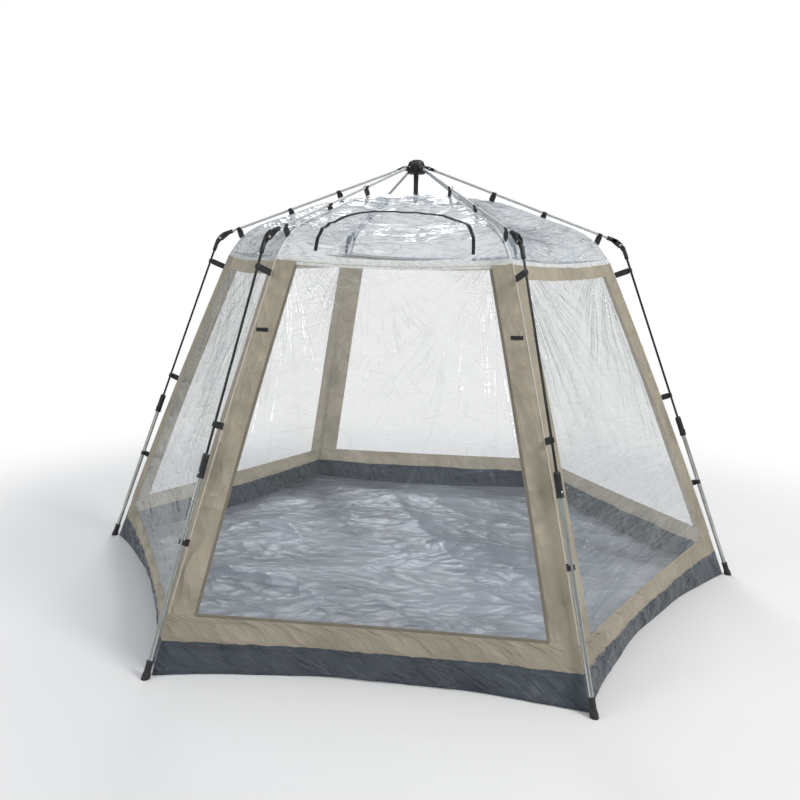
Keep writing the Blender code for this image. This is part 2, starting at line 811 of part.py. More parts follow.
def ridge_height(radius):
    """The height of the roof's ridge line, which runs smoothly through its points."""
    points = ridge_points()
    if radius >= points[0][0]:
        return points[0][1]
    slopes = [(b[1] - a[1]) / (b[0] - a[0]) for a, b in zip(points, points[1:])]
    last = len(slopes) - 1
    i = next(k for k in range(last + 1) if radius >= points[k + 1][0])
    (r0, z0), (r1, z1) = points[i], points[i + 1]
    start_slope = slopes[0] if i == 0 else (slopes[i - 1] + slopes[i]) / 2
    end_slope = slopes[last] if i == last else (slopes[i] + slopes[i + 1]) / 2
    width = r1 - r0
    t = (radius - r0) / width
    return (
        z0 * (2 * t**3 - 3 * t**2 + 1)
        + start_slope * width * (t**3 - 2 * t**2 + t)
        + z1 * (3 * t**2 - 2 * t**3)
        + end_slope * width * (t**3 - t**2)
    )


def roof_radii():
    """Ridge radii of the roof's rows, from the eave to the hanger's patch, closer together at the shoulder."""
    shoulder = spaced(EAVE_CORNER_RADIUS, ELBOW_RADIUS - SHOULDER_FROM_ELBOW, ROOF_SHOULDER_ROWS)
    slope = spaced(shoulder[-1], TOP_PANEL_RADIUS, ROOF_ROWS)
    return shoulder + slope[1:] + [TOP_PANEL_RADIUS / 2, HANGER_PATCH_RADIUS]


def roof_point(across, radius):
    """A point of a roof side in its own frame."""
    slack = 1 - across * across
    outward = max(0.0, radius - TOP_PANEL_RADIUS) / (EAVE_CORNER_RADIUS - TOP_PANEL_RADIUS)
    sag = (EAVE_SAG * outward + ROOF_SAG * 4 * outward * (1 - outward)) * slack
    out = radius * COS30 - WALL_DRAW_IN * outward * slack
    lift = EAVE_GAP * outward
    return Vector((out, across * radius * HALF_SIDE, ridge_height(radius) - sag + lift))


def roof_sheet():
    bm = bmesh.new()
    patch = []
    for azimuth in [DOOR_AZIMUTH, *FACE_AZIMUTHS.values()]:
        turn = Matrix.Rotation(math.radians(azimuth), 3, "Z")
        rows = []
        for radius in roof_radii():
            across = spaced(-1, 1, ROOF_COLUMNS)
            rows.append([bm.verts.new(turn @ roof_point(a, radius)) for a in across])
        for upper, lower in zip(rows, rows[1:]):
            for i in range(len(upper) - 1):
                bm.faces.new((upper[i], upper[i + 1], lower[i + 1], lower[i]))
        patch += rows[-1][:-1]
    merged = bmesh.ops.find_doubles(bm, verts=bm.verts, keep_verts=patch, dist=SLIVER)["targetmap"]
    bmesh.ops.weld_verts(bm, targetmap=merged)
    bm.faces.new(patch)
    bmesh.ops.recalc_face_normals(bm, faces=bm.faces)
    if sum(f.normal.z for f in bm.faces) < 0:
        bmesh.ops.reverse_faces(bm, faces=bm.faces)
    mesh = bpy.data.meshes.new("roof")
    bm.to_mesh(mesh)
    bm.free()
    return mesh


def window_prism(margin):
    """An upright half-round block over the roof window, in the door side's frame turned into place."""
    bm = bmesh.new()
    turn = Matrix.Rotation(math.radians(DOOR_AZIMUTH), 3, "Z")
    outline = []
    for angle in spaced(0, math.pi, WINDOW_POINTS):
        across = (WINDOW_HALF_WIDTH + margin) * math.cos(angle)
        inward = (WINDOW_DEPTH + 2 * margin) * math.sin(angle)
        outline.append((WINDOW_BASE_APOTHEM + margin - inward, across))
    low, high = EAVE_HEIGHT - CUT_MARGIN, HUB_PIN_HEIGHT
    bottom = [bm.verts.new(turn @ Vector((x, y, low))) for x, y in outline]
    top = [bm.verts.new(turn @ Vector((x, y, high))) for x, y in outline]
    bm.faces.new(bottom)
    bm.faces.new(list(reversed(top)))
    for i in range(len(outline)):
        j = (i + 1) % len(outline)
        bm.faces.new((bottom[i], bottom[j], top[j], top[i]))
    return finish_mesh(bm, "window_prism")


def rib_strap_mesh(distance):
    """A strap square to the rib, at a distance from the elbow, from the roof's ridge up to the rib."""
    along = rib_direction()
    square = Vector((-along.z, 0, along.x))
    hold = elbow_point() - along * distance
    sewn = sewn_point(hold, -square, lambda p: p.z > ridge_height(p.x) + STRAP_ABOVE_RIDGE)
    return strap_and_clip(hold, sewn, along, RIB_RADIUS)


def roof_mesh(sheet):
    straps = []
    for azimuth in CORNER_AZIMUTHS.values():
        for distance in RIB_STRAP_DISTANCES:
            strap = rib_strap_mesh(distance)
            strap.transform(Matrix.Rotation(math.radians(azimuth), 4, "Z"))
            straps.append(strap)
    top = HUB_PIN_HEIGHT - HUB_BODY_BELOW_PIN - HUB_STEM_LENGTH - RUNNING_GAP
    foot = ridge_height(0) - SEWN_DEPTH
    half = HANGER_WIDTH / 2
    outline = [(-half, foot), (half, foot), (half, top), (-half, top)]
    straps.append(slab(outline, -HANGER_THICKNESS / 2, HANGER_THICKNESS / 2))
    return united(cut_from(sheet, window_prism(SIDE_GAP)), joined(straps))


def band_rings(heights, columns):
    """Rings round all six sides at the given heights, each a list of points."""
    rings = []
    for height in heights:
        ring = []
        for azimuth in [DOOR_AZIMUTH, *FACE_AZIMUTHS.values()]:
            turn = Matrix.Rotation(math.radians(azimuth), 3, "Z")
            ring += [turn @ side_point(across, height) for across in spaced(-1, 1, columns)[:-1]]
        rings.append(ring)
    return rings


def bottom_band_mesh():
    """The ring of cloth between the clear walls and the tub."""
    heights = spaced(BAND_TOP_HEIGHT, TUB_WALL_HEIGHT + SEAM_GAP, BAND_ROWS)
    rings = band_rings(heights, WALL_COLUMNS)
    grid = [ring + ring[:1] for ring in rings]
    return thickened(sheet_from_grid(grid, "bottom_band"), CLOTH_THICKNESS)


def floor_tub_mesh():
    """A shallow tub: a flat floor on the ground with low walls, open at the top."""
    bm = bmesh.new()
    rings = []
    for ring in band_rings(spaced(TUB_WALL_HEIGHT, 0, TUB_ROWS), WALL_COLUMNS):
        rings.append([bm.verts.new(p) for p in ring])
    count = len(rings[0])
    for upper, lower in zip(rings, rings[1:]):
        for i in range(count):
            j = (i + 1) % count
            bm.faces.new((upper[i], upper[j], lower[j], lower[i]))
    bm.faces.new(rings[-1])
    bmesh.ops.recalc_face_normals(bm, faces=bm.faces)
    floor = min(bm.faces, key=lambda f: f.calc_center_median().z)
    if floor.normal.z > 0:
        bmesh.ops.reverse_faces(bm, faces=bm.faces)
    mesh = bpy.data.meshes.new("floor_tub")
    bm.to_mesh(mesh)
    bm.free()
    return thickened(mesh, CLOTH_THICKNESS)


# Assembly


def build_frame(materials):
    hub_axis = joint_empty("hub_drop_axis", Vector((0, 0, HUB_PIN_HEIGHT)))
    place("hub", hub_mesh(), materials["black_plastic"], 0, hub_axis)
    place("hub_cap", hub_cap_mesh(), materials["hub_cap"], 0, hub_axis)
    meshes = {
        "rib": rib_mesh(),
        "elbow": elbow_mesh(),
        "leg_rod": leg_rod_mesh(),
        "lock_sleeve": lock_sleeve_mesh(),
        "lower_tube": lower_tube_mesh(),
        "foot": foot_mesh(),
        "lock_button": lock_button_mesh(),
    }
    colours = {
        "rib": "grey_rib",
        "elbow": "black_plastic",
        "leg_rod": "black_rod",
        "lock_sleeve": "black_plastic",
        "lower_tube": "silver_tube",
        "foot": "rubber",
        "lock_button": "steel_button",
    }
    for corner, azimuth in CORNER_AZIMUTHS.items():
        rib_axis = joint_empty(f"rib_{corner}_axis", hub_pin(), azimuth, hub_axis)
        leg_axis = joint_empty(f"leg_{corner}_axis", elbow_pin(), azimuth, rib_axis)
        tube_axis = joint_empty(f"lower_leg_{corner}_axis", ground_point(), azimuth, leg_axis)
        button_axis = joint_empty(f"button_{corner}_axis", button_centre(), azimuth, tube_axis)
        holders = {
            "rib": rib_axis,
            "elbow": rib_axis,
            "leg_rod": leg_axis,
            "lock_sleeve": tube_axis,
            "lower_tube": tube_axis,
            "foot": tube_axis,
            "lock_button": button_axis,
        }
        for piece, mesh in meshes.items():
            place(f"{piece}_{corner}", mesh, materials[colours[piece]], azimuth, holders[piece])


def build_canopy(materials):
    sheet = thickened(roof_sheet(), CLOTH_THICKNESS)
    window_point = Vector((WINDOW_BASE_APOTHEM, 0, EAVE_HEIGHT))
    window_axis = joint_empty("roof_window_axis", window_point, DOOR_AZIMUTH)
    place("roof", roof_mesh(sheet.copy()), materials["clear_film"])
    window = shared_by(sheet, window_prism(0))
    place("roof_window", window, materials["clear_film"], 0, window_axis)
    wall = wall_mesh()
    for side, azimuth in FACE_AZIMUTHS.items():
        place(f"wall_{side}", wall, materials["clear_film"], azimuth)
    door_axis = joint_empty("door_axis", side_point(0, EAVE_HEIGHT), DOOR_AZIMUTH)
    place("door_panel", wall, materials["clear_film"], DOOR_AZIMUTH, door_axis)
    strip = corner_strip_mesh()
    for corner, azimuth in CORNER_AZIMUTHS.items():
        place(f"corner_strip_{corner}", strip, materials["khaki_cloth"], azimuth)
    place("bottom_band", bottom_band_mesh(), materials["khaki_cloth"])
    place("floor_tub", floor_tub_mesh(), materials["dark_tub"])


def main():
    clear_scene()
    materials = {
        "black_plastic": make_material("black_plastic", (0.018, 0.018, 0.02), 0.45),
        "hub_cap": make_material("hub_cap", (0.05, 0.05, 0.055), 0.4),
        "grey_rib": make_material("grey_rib", (0.55, 0.56, 0.57), 0.4),
        "black_rod": make_material("black_rod", (0.015, 0.015, 0.017), 0.3),
        "silver_tube": make_material("silver_tube", (0.6, 0.62, 0.6), 0.3, 1.0),
        "rubber": make_material("rubber", (0.03, 0.03, 0.03), 0.7),
        "steel_button": make_material("steel_button", (0.7, 0.68, 0.6), 0.25, 1.0),
        "clear_film": make_material("clear_film", (0.9, 0.93, 0.95), 0.08, 0.0, 0.25),
        "khaki_cloth": make_material("khaki_cloth", (0.38, 0.33, 0.25), 0.8),
        "dark_tub": make_material("dark_tub", (0.07, 0.085, 0.11), 0.7),
    }
    build_frame(materials)
    build_canopy(materials)


main()
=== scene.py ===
# %% [markdown]
# # Camping tent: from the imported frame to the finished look
#
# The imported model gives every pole, joint and panel its place. This lesson keeps that frame as it is and
# dresses it: wrinkled clear film, khaki cloth, a dark tub with a silver floor, webbing straps, and the
# moulded and metal pieces of the folding frame. Units are metres and +Z is up, as in the frame.

import math

import bmesh
import bpy
from mathutils import Matrix, Vector, noise
from mathutils.bvhtree import BVHTree


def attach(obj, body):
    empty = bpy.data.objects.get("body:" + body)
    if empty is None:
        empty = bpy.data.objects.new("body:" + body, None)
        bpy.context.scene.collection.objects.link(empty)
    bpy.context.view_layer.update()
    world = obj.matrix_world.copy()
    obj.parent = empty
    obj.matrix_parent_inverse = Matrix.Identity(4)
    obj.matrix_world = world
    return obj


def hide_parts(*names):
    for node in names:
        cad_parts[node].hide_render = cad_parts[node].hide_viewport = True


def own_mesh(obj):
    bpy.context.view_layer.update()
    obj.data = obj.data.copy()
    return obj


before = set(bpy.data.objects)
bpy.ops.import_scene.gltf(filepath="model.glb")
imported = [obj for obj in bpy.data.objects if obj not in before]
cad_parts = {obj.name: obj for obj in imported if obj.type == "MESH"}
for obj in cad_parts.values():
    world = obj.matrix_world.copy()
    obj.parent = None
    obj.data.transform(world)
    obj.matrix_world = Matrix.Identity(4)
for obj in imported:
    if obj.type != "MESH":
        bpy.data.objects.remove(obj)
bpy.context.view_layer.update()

# %% [markdown]
# ## Camera
#
# The photograph was taken from a standing height, a little to the right of the door. A camera can be set by
# eye, but these values come from solving its perspective with the six feet, the elbows and the hub, so that
# every piece can be held against the photograph.

# %% Camera
CAMERA_PLACE = (0.396, -3.710, 1.457)
CAMERA_TURN = (79.410, -1.140, 7.100)
FOCAL_PIXELS = 808.1
IMAGE_SIZE = 800

scene = bpy.context.scene
camera_data = bpy.data.cameras.new("camera")
camera_data.sensor_width = 36
camera_data.lens = FOCAL_PIXELS / IMAGE_SIZE * camera_data.sensor_width
camera = bpy.data.objects.new("camera", camera_data)
camera.location = CAMERA_PLACE
camera.rotation_euler = [math.radians(angle) for angle in CAMERA_TURN]
bpy.context.collection.objects.link(camera)
scene.camera = camera
print("lens:", round(camera_data.lens, 2), "mm")

# %% [markdown]
# ## A kit for nodes
#
# The studio's sky and every material are built from nodes. Written out one by one, a sum of two noises takes
# six lines. Here each node's output is wrapped as an Amount, which knows its tree, so that sums and products
# are written as plain arithmetic and each adds one Math node.


# %% Nodes as arithmetic
class Amount:
    """One output of a node. Arithmetic with it adds Math nodes to its tree."""

    def __init__(self, socket):
        self.socket = socket
        self.tree = socket.id_data

    def worked(self, operation, other=0.0, clamp=False):
        return node(self.tree, "Math", (0, self), (1, other), operation=operation, use_clamp=clamp)

    def __add__(self, other):
        return self.worked("ADD", other)

    def __sub__(self, other):
        return self.worked("SUBTRACT", other)

    def __mul__(self, other):
        return self.worked("MULTIPLY", other)

    def __pow__(self, other):
        return self.worked("POWER", other)

    def __abs__(self):
        return self.worked("ABSOLUTE")


def feed(made, key, value):
    """Links an Amount to a node's input, or sets the input to a plain value."""
    if isinstance(value, Amount):
        value.tree.links.new(value.socket, made.inputs[key])
    else:
        made.inputs[key].default_value = value


def node(tree, kind, *inputs, out=0, **settings):
    """A new node's output; inputs are (input, value) pairs, and settings are the node's own properties."""
    made = tree.nodes.new("ShaderNode" + kind)
    for key, value in settings.items():
        setattr(made, key, value)
    for key, value in inputs:
        feed(made, key, value)
    return Amount(made.outputs[out])


def most(first, *others):
    for other in others:
        first = first.worked("MAXIMUM", other)
    return first


def ranged(value, low, high, new_low=0.0, new_high=1.0):
    """The value moved from one range to another, and held inside the new one."""
    ends = ((1, low), (2, high), (3, new_low), (4, new_high))
    return node(value.tree, "MapRange", (0, value), *ends, clamp=True)


def mixed(factor, first, second):
    """A colour between two, which are each an Amount or plain (red, green, blue)."""
    colours = [colour if isinstance(colour, Amount) else (*colour, 1) for colour in (first, second)]
    return node(factor.tree, "Mix", (0, factor), (6, colours[0]), (7, colours[1]), out=2, data_type="RGBA")


print("kit for nodes:", ["feed", "node", "most", "ranged", "mixed"])

# %% [markdown]
# ## Lights
#
# Three broad round lights stand about the tent, as soft boxes do in a studio. One small lamp would turn
# every wrinkle of the film into a harsh spot. Broad ones give long soft glints, and all point at the tent's
# middle.

# %% Lights
TENT_MIDDLE = Vector((0, 0, 0.7))

scene.view_settings.view_transform = "Standard"


def add_light(name, place, size, power, colour=(1, 1, 1)):
    data = bpy.data.lights.new(name, "AREA")
    data.shape = "DISK"
    data.size = size
    data.energy = power
    data.color = colour
    light = bpy.data.objects.new(name, data)
    light.location = place
    light.rotation_euler = (TENT_MIDDLE - Vector(place)).to_track_quat("-Z", "Y").to_euler()
    bpy.context.collection.objects.link(light)


add_light("key_light", (4.5, -2.5, 5.5), 2.2, 250, (1.0, 0.98, 0.95))
add_light("left_light", (-5.0, -4.0, 3.5), 2.4, 90, (0.94, 0.97, 1.0))
add_light("back_light", (-1.5, 6.0, 4.5), 3.0, 170)

# %% [markdown]
# ## Studio floor and sky
#
# Film is seen mostly by what it reflects, so the sky is bright overhead and darker near the horizon for
# every ray but the camera's, which sees plain white. A picture of a real sky would do too, but a ramp of
# three colours needs no file. The floor takes the tent's shadow.

# %% Studio floor and sky
STUDIO_HALF, STUDIO_FLOOR = 30, -0.001
SKY = ((0.0, (0.30, 0.33, 0.34, 1)), (0.22, (0.42, 0.45, 0.46, 1)), (0.75, (0.95, 0.97, 1.0, 1)))
SKY_STRENGTH = 0.62
WHITE = (1, 1, 1, 1)

floor_mesh = bpy.data.meshes.new("studio_floor")
floor_signs = ((-1, -1), (1, -1), (1, 1), (-1, 1))
floor_corners = [(x * STUDIO_HALF, y * STUDIO_HALF, STUDIO_FLOOR) for x, y in floor_signs]
floor_mesh.from_pydata(floor_corners, [], [(0, 1, 2, 3)])
studio_floor = bpy.data.objects.new("studio_floor", floor_mesh)
bpy.context.collection.objects.link(studio_floor)


def studio_sky():
    world = bpy.data.worlds.new("studio")
    world.use_nodes = True
    tree = world.node_tree
    tree.nodes.clear()
    upward = node(tree, "SeparateXYZ", (0, node(tree, "TexCoord", out="Generated")), out="Z")
    sky = node(tree, "ValToRGB", (0, upward))
    ramp = sky.socket.node.color_ramp
    ramp.elements.new(SKY[1][0])
    for element, (height, colour) in zip(ramp.elements, SKY):
        element.position = height
        element.color = colour
    soft = node(tree, "Background", ("Color", sky), ("Strength", SKY_STRENGTH))
    white = node(tree, "Background", ("Color", WHITE), ("Strength", 1.0))
    to_camera = node(tree, "LightPath", out="Is Camera Ray")
    seen = node(tree, "MixShader", (0, to_camera), (1, soft), (2, white))
    feed(tree.nodes.new("ShaderNodeOutputWorld"), "Surface", seen)
    return world


scene.world = studio_sky()
print("sky nodes:", len(scene.world.node_tree.nodes))

# %% [markdown]
# ## Starting a material
#
# Each finish starts from a Principled shader, and only its pattern differs, so what they share is a helper.
# Cloth and film carry UV maps in metres, so creases and weave keep their real scale on every panel. Solid
# pieces use object coordinates, also metres.


# %% Starting a material
def new_material(name, colour, roughness, metallic=0.0, **inputs):
    material = bpy.data.materials.new(name)
    material.use_nodes = True
    material.diffuse_color = (*colour, 1)
    shader = material.node_tree.nodes["Principled BSDF"]
    feed(shader, "Base Color", (*colour, 1))
    feed(shader, "Roughness", roughness)
    feed(shader, "Metallic", metallic)
    for key, value in inputs.items():
        feed(shader, key.replace("_", " "), value)
    return material, material.node_tree, shader


def blended(tree, share, shader, other):
    """Shows a share of another shader over the Principled one."""
    blend = node(tree, "MixShader", (0, share), (1, Amount(shader.outputs[0])), (2, other))
    feed(tree.nodes["Material Output"], "Surface", blend)


def coordinates(tree, source, scale=(1, 1, 1), turn=0.0):
    """Object or UV coordinates, stretched and turned."""
    base = node(tree, "TexCoord", out=source)
    return node(tree, "Mapping", (0, base), ("Rotation", (0, 0, turn)), ("Scale", scale))


def bumped(shader, height, strength, distance):
    """Gives a shader its bumps, and returns the bumped normal."""
    normal = node(height.tree, "Bump", ("Height", height), ("Strength", strength), ("Distance", distance))
    feed(shader, "Normal", normal)
    return normal


print("helpers:", ["new_material", "blended", "coordinates", "bumped"])

# %% [markdown]
# ## Noise, facets and folds
#
# Plain noise makes soft clouds, but a crumpled sheet is made of flat facets with sharp folds between them.
# The cells of a Voronoi texture have that form once their coordinates are warped by noise, and their edges
# give the folds. Creases that fan out from a corner are noise in the corner's own round coordinates.


# %% Noise, facets and folds
def noise_at(vector, scale, detail=3.0, roughness=0.5, distortion=0.0):
    inputs = (("Scale", scale), ("Detail", detail), ("Roughness", roughness), ("Distortion", distortion))
    return node(vector.tree, "TexNoise", ("Vector", vector), *inputs, out="Fac")


def lines_at(value, level, width):
    """Thin lines where a noise crosses a level, 1 on the line and 0 past its width."""
    return ranged(abs(value - level), 0.0, width, 1.0, 0.0)


def warped(vector, scale, amount):
    """The same coordinates pushed about by broad noise, so that a regular pattern in them turns irregular."""
    tree = vector.tree
    cloud = node(tree, "TexNoise", ("Vector", vector), ("Scale", scale), ("Detail", 2.0), out="Color")
    centred = node(tree, "VectorMath", (0, cloud), (1, (0.5, 0.5, 0.5)), operation="SUBTRACT")
    pushed = node(tree, "VectorMath", (0, centred), ("Scale", amount), operation="SCALE")
    return node(tree, "VectorMath", (0, vector), (1, pushed), operation="ADD")


def cells(vector, scale, **settings):
    inputs = (("Vector", vector), ("Scale", scale))
    return node(vector.tree, "TexVoronoi", *inputs, out="Distance", voronoi_dimensions="2D", **settings)


def facets(vector, scale):
    """Height of a crumpled sheet: shallow hollows that meet in sharp folds."""
    return cells(vector, scale) ** 2.0


def folds_at(vector, scale, width):
    """1 on the straight folds between a crumpled sheet's facets, fading to 0 beside them."""
    return ranged(cells(vector, scale, feature="DISTANCE_TO_EDGE"), width, 0.0)


def fan_vector(flat, corner, spread=4.2, stretch=0.8):
    """Coordinates that run round and away from a corner, so that noise in them fans out from it."""
    across, along = (node(flat.tree, "SeparateXYZ", (0, flat), out=axis) - corner[axis] for axis in (0, 1))
    turned = along.worked("ARCTAN2", across)
    reach = (across**2.0 + along**2.0).worked("SQRT")
    axes = ((0, turned * spread), (1, reach * stretch), (2, corner[0] * 3.0))
    return node(flat.tree, "CombineXYZ", *axes), reach


print("patterns:", ["noise_at", "lines_at", "facets", "folds_at", "fan_vector"])

# %% [markdown]
# ## Clear film
#
# The walls, the door and the roof are thin clear PVC film. It is seen by its haze, by what it mirrors at a
# slant, and by its folds, which get a painted highlight line on one side and a painted dark line on the
# other. Real refraction through so thin a sheet changes nothing but costs time, so the film is a surface
# that is mostly see-through, where the folds and painted glints add cover and a glossy layer adds the
# mirroring.


# %% Clear film
def fan_folds(flat, fans):
    """Painted highlight lines, painted dark lines and broad swells, spreading from the film's pulled corners.
    """
    highlight_lines, dark, swells = [], [], []
    for corner in fans:
        vector, reach = fan_vector(flat, corner)
        value = noise_at(vector, 2.2, 1.5, 0.5, 0.15)
        near = ranged(reach, 0.1, 1.0, 1.0, 0.0)
        # Each fan gives a painted highlight line, a painted dark line just beside it, and a broad swell for
        # the bump.
        highlight_lines.append(lines_at(value, 0.50, 0.016) * near)
        dark.append(lines_at(value, 0.53, 0.020) * near)
        swells.append(lines_at(value, 0.50, 0.07) * near)
    return highlight_lines, dark, swells


def film_shine(tree, shader, bump):
    """Mirroring that grows towards a slant, the same from either side of the film."""
    shine = node(tree, "BsdfGlossy", ("Roughness", 0.09), ("Normal", bump))
    slant = node(tree, "LayerWeight", ("Blend", 0.5), ("Normal", bump), out="Facing")
    blended(tree, ranged(slant**5.0, 0.0, 1.0, 0.05, 0.70), shader, shine)


def film_material(name, haze, strength, fans, streaks, glints, calm, tint=(0.44, 0.50, 0.53), waves=()):
    """Thin clear film: a faint grey haze, glossy, with folds drawn as painted highlight and dark lines.

    fans are corners (u, v) that creases spread from, streaks is (u scale, v scale, turn) of the long folds,
    glints is how much of the fine crumpling gets painted glints, calm is what is left of the folds on smooth
    patches, waves are the heights at which long wrinkles across the slope are drawn as painted highlight and
    dark lines, and tint is the haze colour, which on the roof is a painted reflection of the sky.
    """
    material, tree, shader = new_material(name, (0.60, 0.66, 0.70), 0.1, IOR=1.55)
    flat = coordinates(tree, "UV")
    broad = noise_at(flat, 1.7)
    highlight_lines, dark, swells = fan_folds(flat, fans)

    scale_u, scale_v, turned = streaks
    long_way = warped(coordinates(tree, "UV", (scale_u, scale_v, 1), turned), 1.6, 0.35)
    long_fold = folds_at(long_way, 2.6, 0.035) * ranged(noise_at(flat, 4.5, 2.0), 0.50, 0.64)
    short_fold = folds_at(long_way, 7.0, 0.06) * ranged(broad, 0.48, 0.64)
    # Painted highlight lines along the long and short folds, and a painted dark line along the long ones.
    highlight_lines += [long_fold**2.5 * (0.45 + 0.5 * calm), short_fold**2.5 * 0.4]
    dark.append(long_fold**0.7 * 0.6)

    waved = noise_at(coordinates(tree, "UV", (1.2, 8.0, 1), 0.12), 2.6, 1.6, 0.4, 0.1)
    for level in waves:
        place = coordinates(tree, "UV", (2.4 + 3 * level, 7.0, 1), level)
        broken = ranged(noise_at(place, 2.2, 2.0), 0.43, 0.57)
        # Each wave gives a painted highlight line with a painted dark line just above it.
        highlight_lines.append(lines_at(waved, level, 0.013) * broken)
        dark.append(lines_at(waved, level + 0.028, 0.018) * broken)

    # Painted glints: white specks in the colour and the cover where the fine crumpling would catch a lamp.
    speckle = noise_at(coordinates(tree, "UV", (1, 2.2, 1), 0.6), 70.0, 2.5, 0.6, 0.4)
    sparkling = ranged(noise_at(flat, 2.6, 2.0), 0.46, 0.62)
    glint = ranged(speckle, 0.60, 0.68) * (sparkling * glints)

    height = facets(long_way, 2.6) + facets(long_way, 11.0) * 0.3
    if swells:
        height = height + most(*swells) * 0.5
    height = height + waved * (1.6 * calm) + speckle * (0.08 + 0.1 * glints)
    bump = bumped(shader, height, 0.9, 0.010 + 0.012 * calm)

    # The painted highlights and dark lines add cover where they lie, on smooth patches only a share of them.
    painted_highlights, painted_dark_lines = most(*highlight_lines), most(*dark)
    marks = most(painted_highlights * 0.85, painted_dark_lines * 0.4) * ranged(broad, 0.42, 0.60, calm, 1.0)
    facing = node(tree, "LayerWeight", ("Blend", 0.35), out="Facing")
    cover = most(marks, glint) * strength + haze
    feed(shader, "Alpha", cover.worked("ADD", facing**2.5 * 0.45, clamp=True))
    # Painted shade darkens the dark lines; painted white highlights and glints go over it.
    shade = mixed(painted_dark_lines, tint, (0.12, 0.15, 0.17))
    feed(shader, "Base Color", mixed(most(painted_highlights, glint), shade, (0.96, 0.98, 0.99)))
    feed(shader, "Roughness", ranged(broad, 0.3, 0.7, 0.05, 0.16))
    film_shine(tree, shader, bump)
    return material


print("film helpers:", ["fan_folds", "film_shine", "film_material"])

# %% [markdown]
# ## The tent's films
#
# The same film looks different where it hangs: clearest in the door, hazier in the walls, and on the roof
# bluish, a painted reflection of the sky, with long wrinkles. One material would be true to the roll it was
# cut from, but not to the eye, so each gets its own values. The seams are two layers welded together, milky
# and faintly ribbed.

# %% Films of the door, the walls, the roof and the seams
WALL_FANS = ((0.34, -0.05), (-0.40, -0.10))
WALL_STREAKS = (0.9, 4.6, 0.95)
ROOF_STREAKS = (1.2, 6.0, 0.10)
ROOF_WAVES = (0.36, 0.44, 0.52, 0.60)
# The roof's bluish tint is a painted reflection of the sky.
ROOF_PAINTED_SKY_TINT = (0.38, 0.48, 0.58)
door_film = film_material("door_film", 0.07, 0.8, WALL_FANS, WALL_STREAKS, 0.3, 0.05)
wall_film = film_material("wall_film", 0.10, 0.8, WALL_FANS, WALL_STREAKS, 0.6, 0.10)
roof_film = film_material("roof_film", 0.20, 0.85, (), ROOF_STREAKS, 0.35, 0.5, ROOF_PAINTED_SKY_TINT, ROOF_WAVES)


def welded_film():
    """Two welded layers of film: milky white, glossy, faintly ribbed by the welding tool."""
    material, tree, shader = new_material("welded_film", (0.80, 0.82, 0.82), 0.22)
    ribs = noise_at(coordinates(tree, "UV"), 60.0)
    bumped(shader, ribs, 0.4, 0.002)
    feed(shader, "Alpha", ranged(ribs, 0.35, 0.65, 0.62, 0.9))
    return material


seam_film = welded_film()
print("films:", [film.name for film in (door_film, wall_film, roof_film, seam_film)])

# %% [markdown]
# ## Cloth and webbing
#
# The khaki strips and the dark tub are coated plain-weave cloth, creased from its bag, and some light shines
# through it. A photographed weave could be tiled over them. Here crossed waves make the threads, facets make
# the crumpling, a painted highlight lightens the crease lines, and a Translucent shader lets the light
# through, so nothing repeats and nothing is read in.


# %% Cloth and webbing
def cloth_material(name, colour, roughness, crumple, depth, glow, sheen=0.2):
    """Coated plain-weave cloth; crumple sets how fine its creases are, and glow the light through it."""
    material, tree, shader = new_material(name, colour, roughness, Sheen_Weight=sheen)
    flat = coordinates(tree, "UV")
    soft = noise_at(flat, crumple * 0.7, 4.0, 0.55, 0.5)
    sloping = warped(coordinates(tree, "UV", (1.9, 1, 1), 0.15), crumple * 0.3, 2.0 / crumple)
    creases = folds_at(sloping, crumple * 0.6, 0.07) * ranged(soft, 0.45, 0.58)
    weave = (("Vector", flat), ("Scale", 150.0))
    threads = most(*(node(tree, "TexWave", *weave, out="Fac", bands_direction=way) for way in "XY"))
    height = facets(sloping, crumple * 0.6) * 0.9 + facets(sloping, crumple * 2.1) * 0.5
    bumped(shader, height + soft * 0.6 + threads * 0.02, 0.9, depth)
    dark = tuple(c * 0.78 for c in colour)
    light = tuple(min(1, c * 1.18) for c in colour)
    # Random lighter and darker tone, with a painted highlight along the crease lines.
    wear_and_highlight = mixed(creases * 0.4, mixed(ranged(soft, 0.3, 0.7), dark, light), light)
    tone = mixed(threads * 0.15, wear_and_highlight, dark)
    feed(shader, "Base Color", tone)
    feed(shader, "Roughness", ranged(soft, 0.3, 0.7, roughness + 0.08, roughness - 0.1))
    blended(tree, glow, shader, node(tree, "BsdfTranslucent", ("Color", tone)))
    return material


def webbing_material():
    """Black nylon webbing, ribbed across its length."""
    material, tree, shader = new_material("webbing", (0.012, 0.012, 0.014), 0.7, Sheen_Weight=0.1)
    inputs = (("Vector", coordinates(tree, "UV")), ("Scale", 110.0))
    ribs = node(tree, "TexWave", *inputs, out="Fac", bands_direction="Y")
    bumped(shader, ribs, 0.5, 0.0008)
    feed(shader, "Base Color", mixed(ribs, (0.006, 0.006, 0.007), (0.024, 0.024, 0.027)))
    return material


khaki = cloth_material("khaki_cloth", (0.54, 0.475, 0.365), 0.6, 10.0, 0.018, 0.42)
tub_dark = cloth_material("tub_cloth", (0.055, 0.074, 0.100), 0.38, 8.0, 0.045, 0.06, sheen=0.25)
webbing = webbing_material()
print("cloths:", [cloth.name for cloth in (khaki, tub_dark, webbing)])
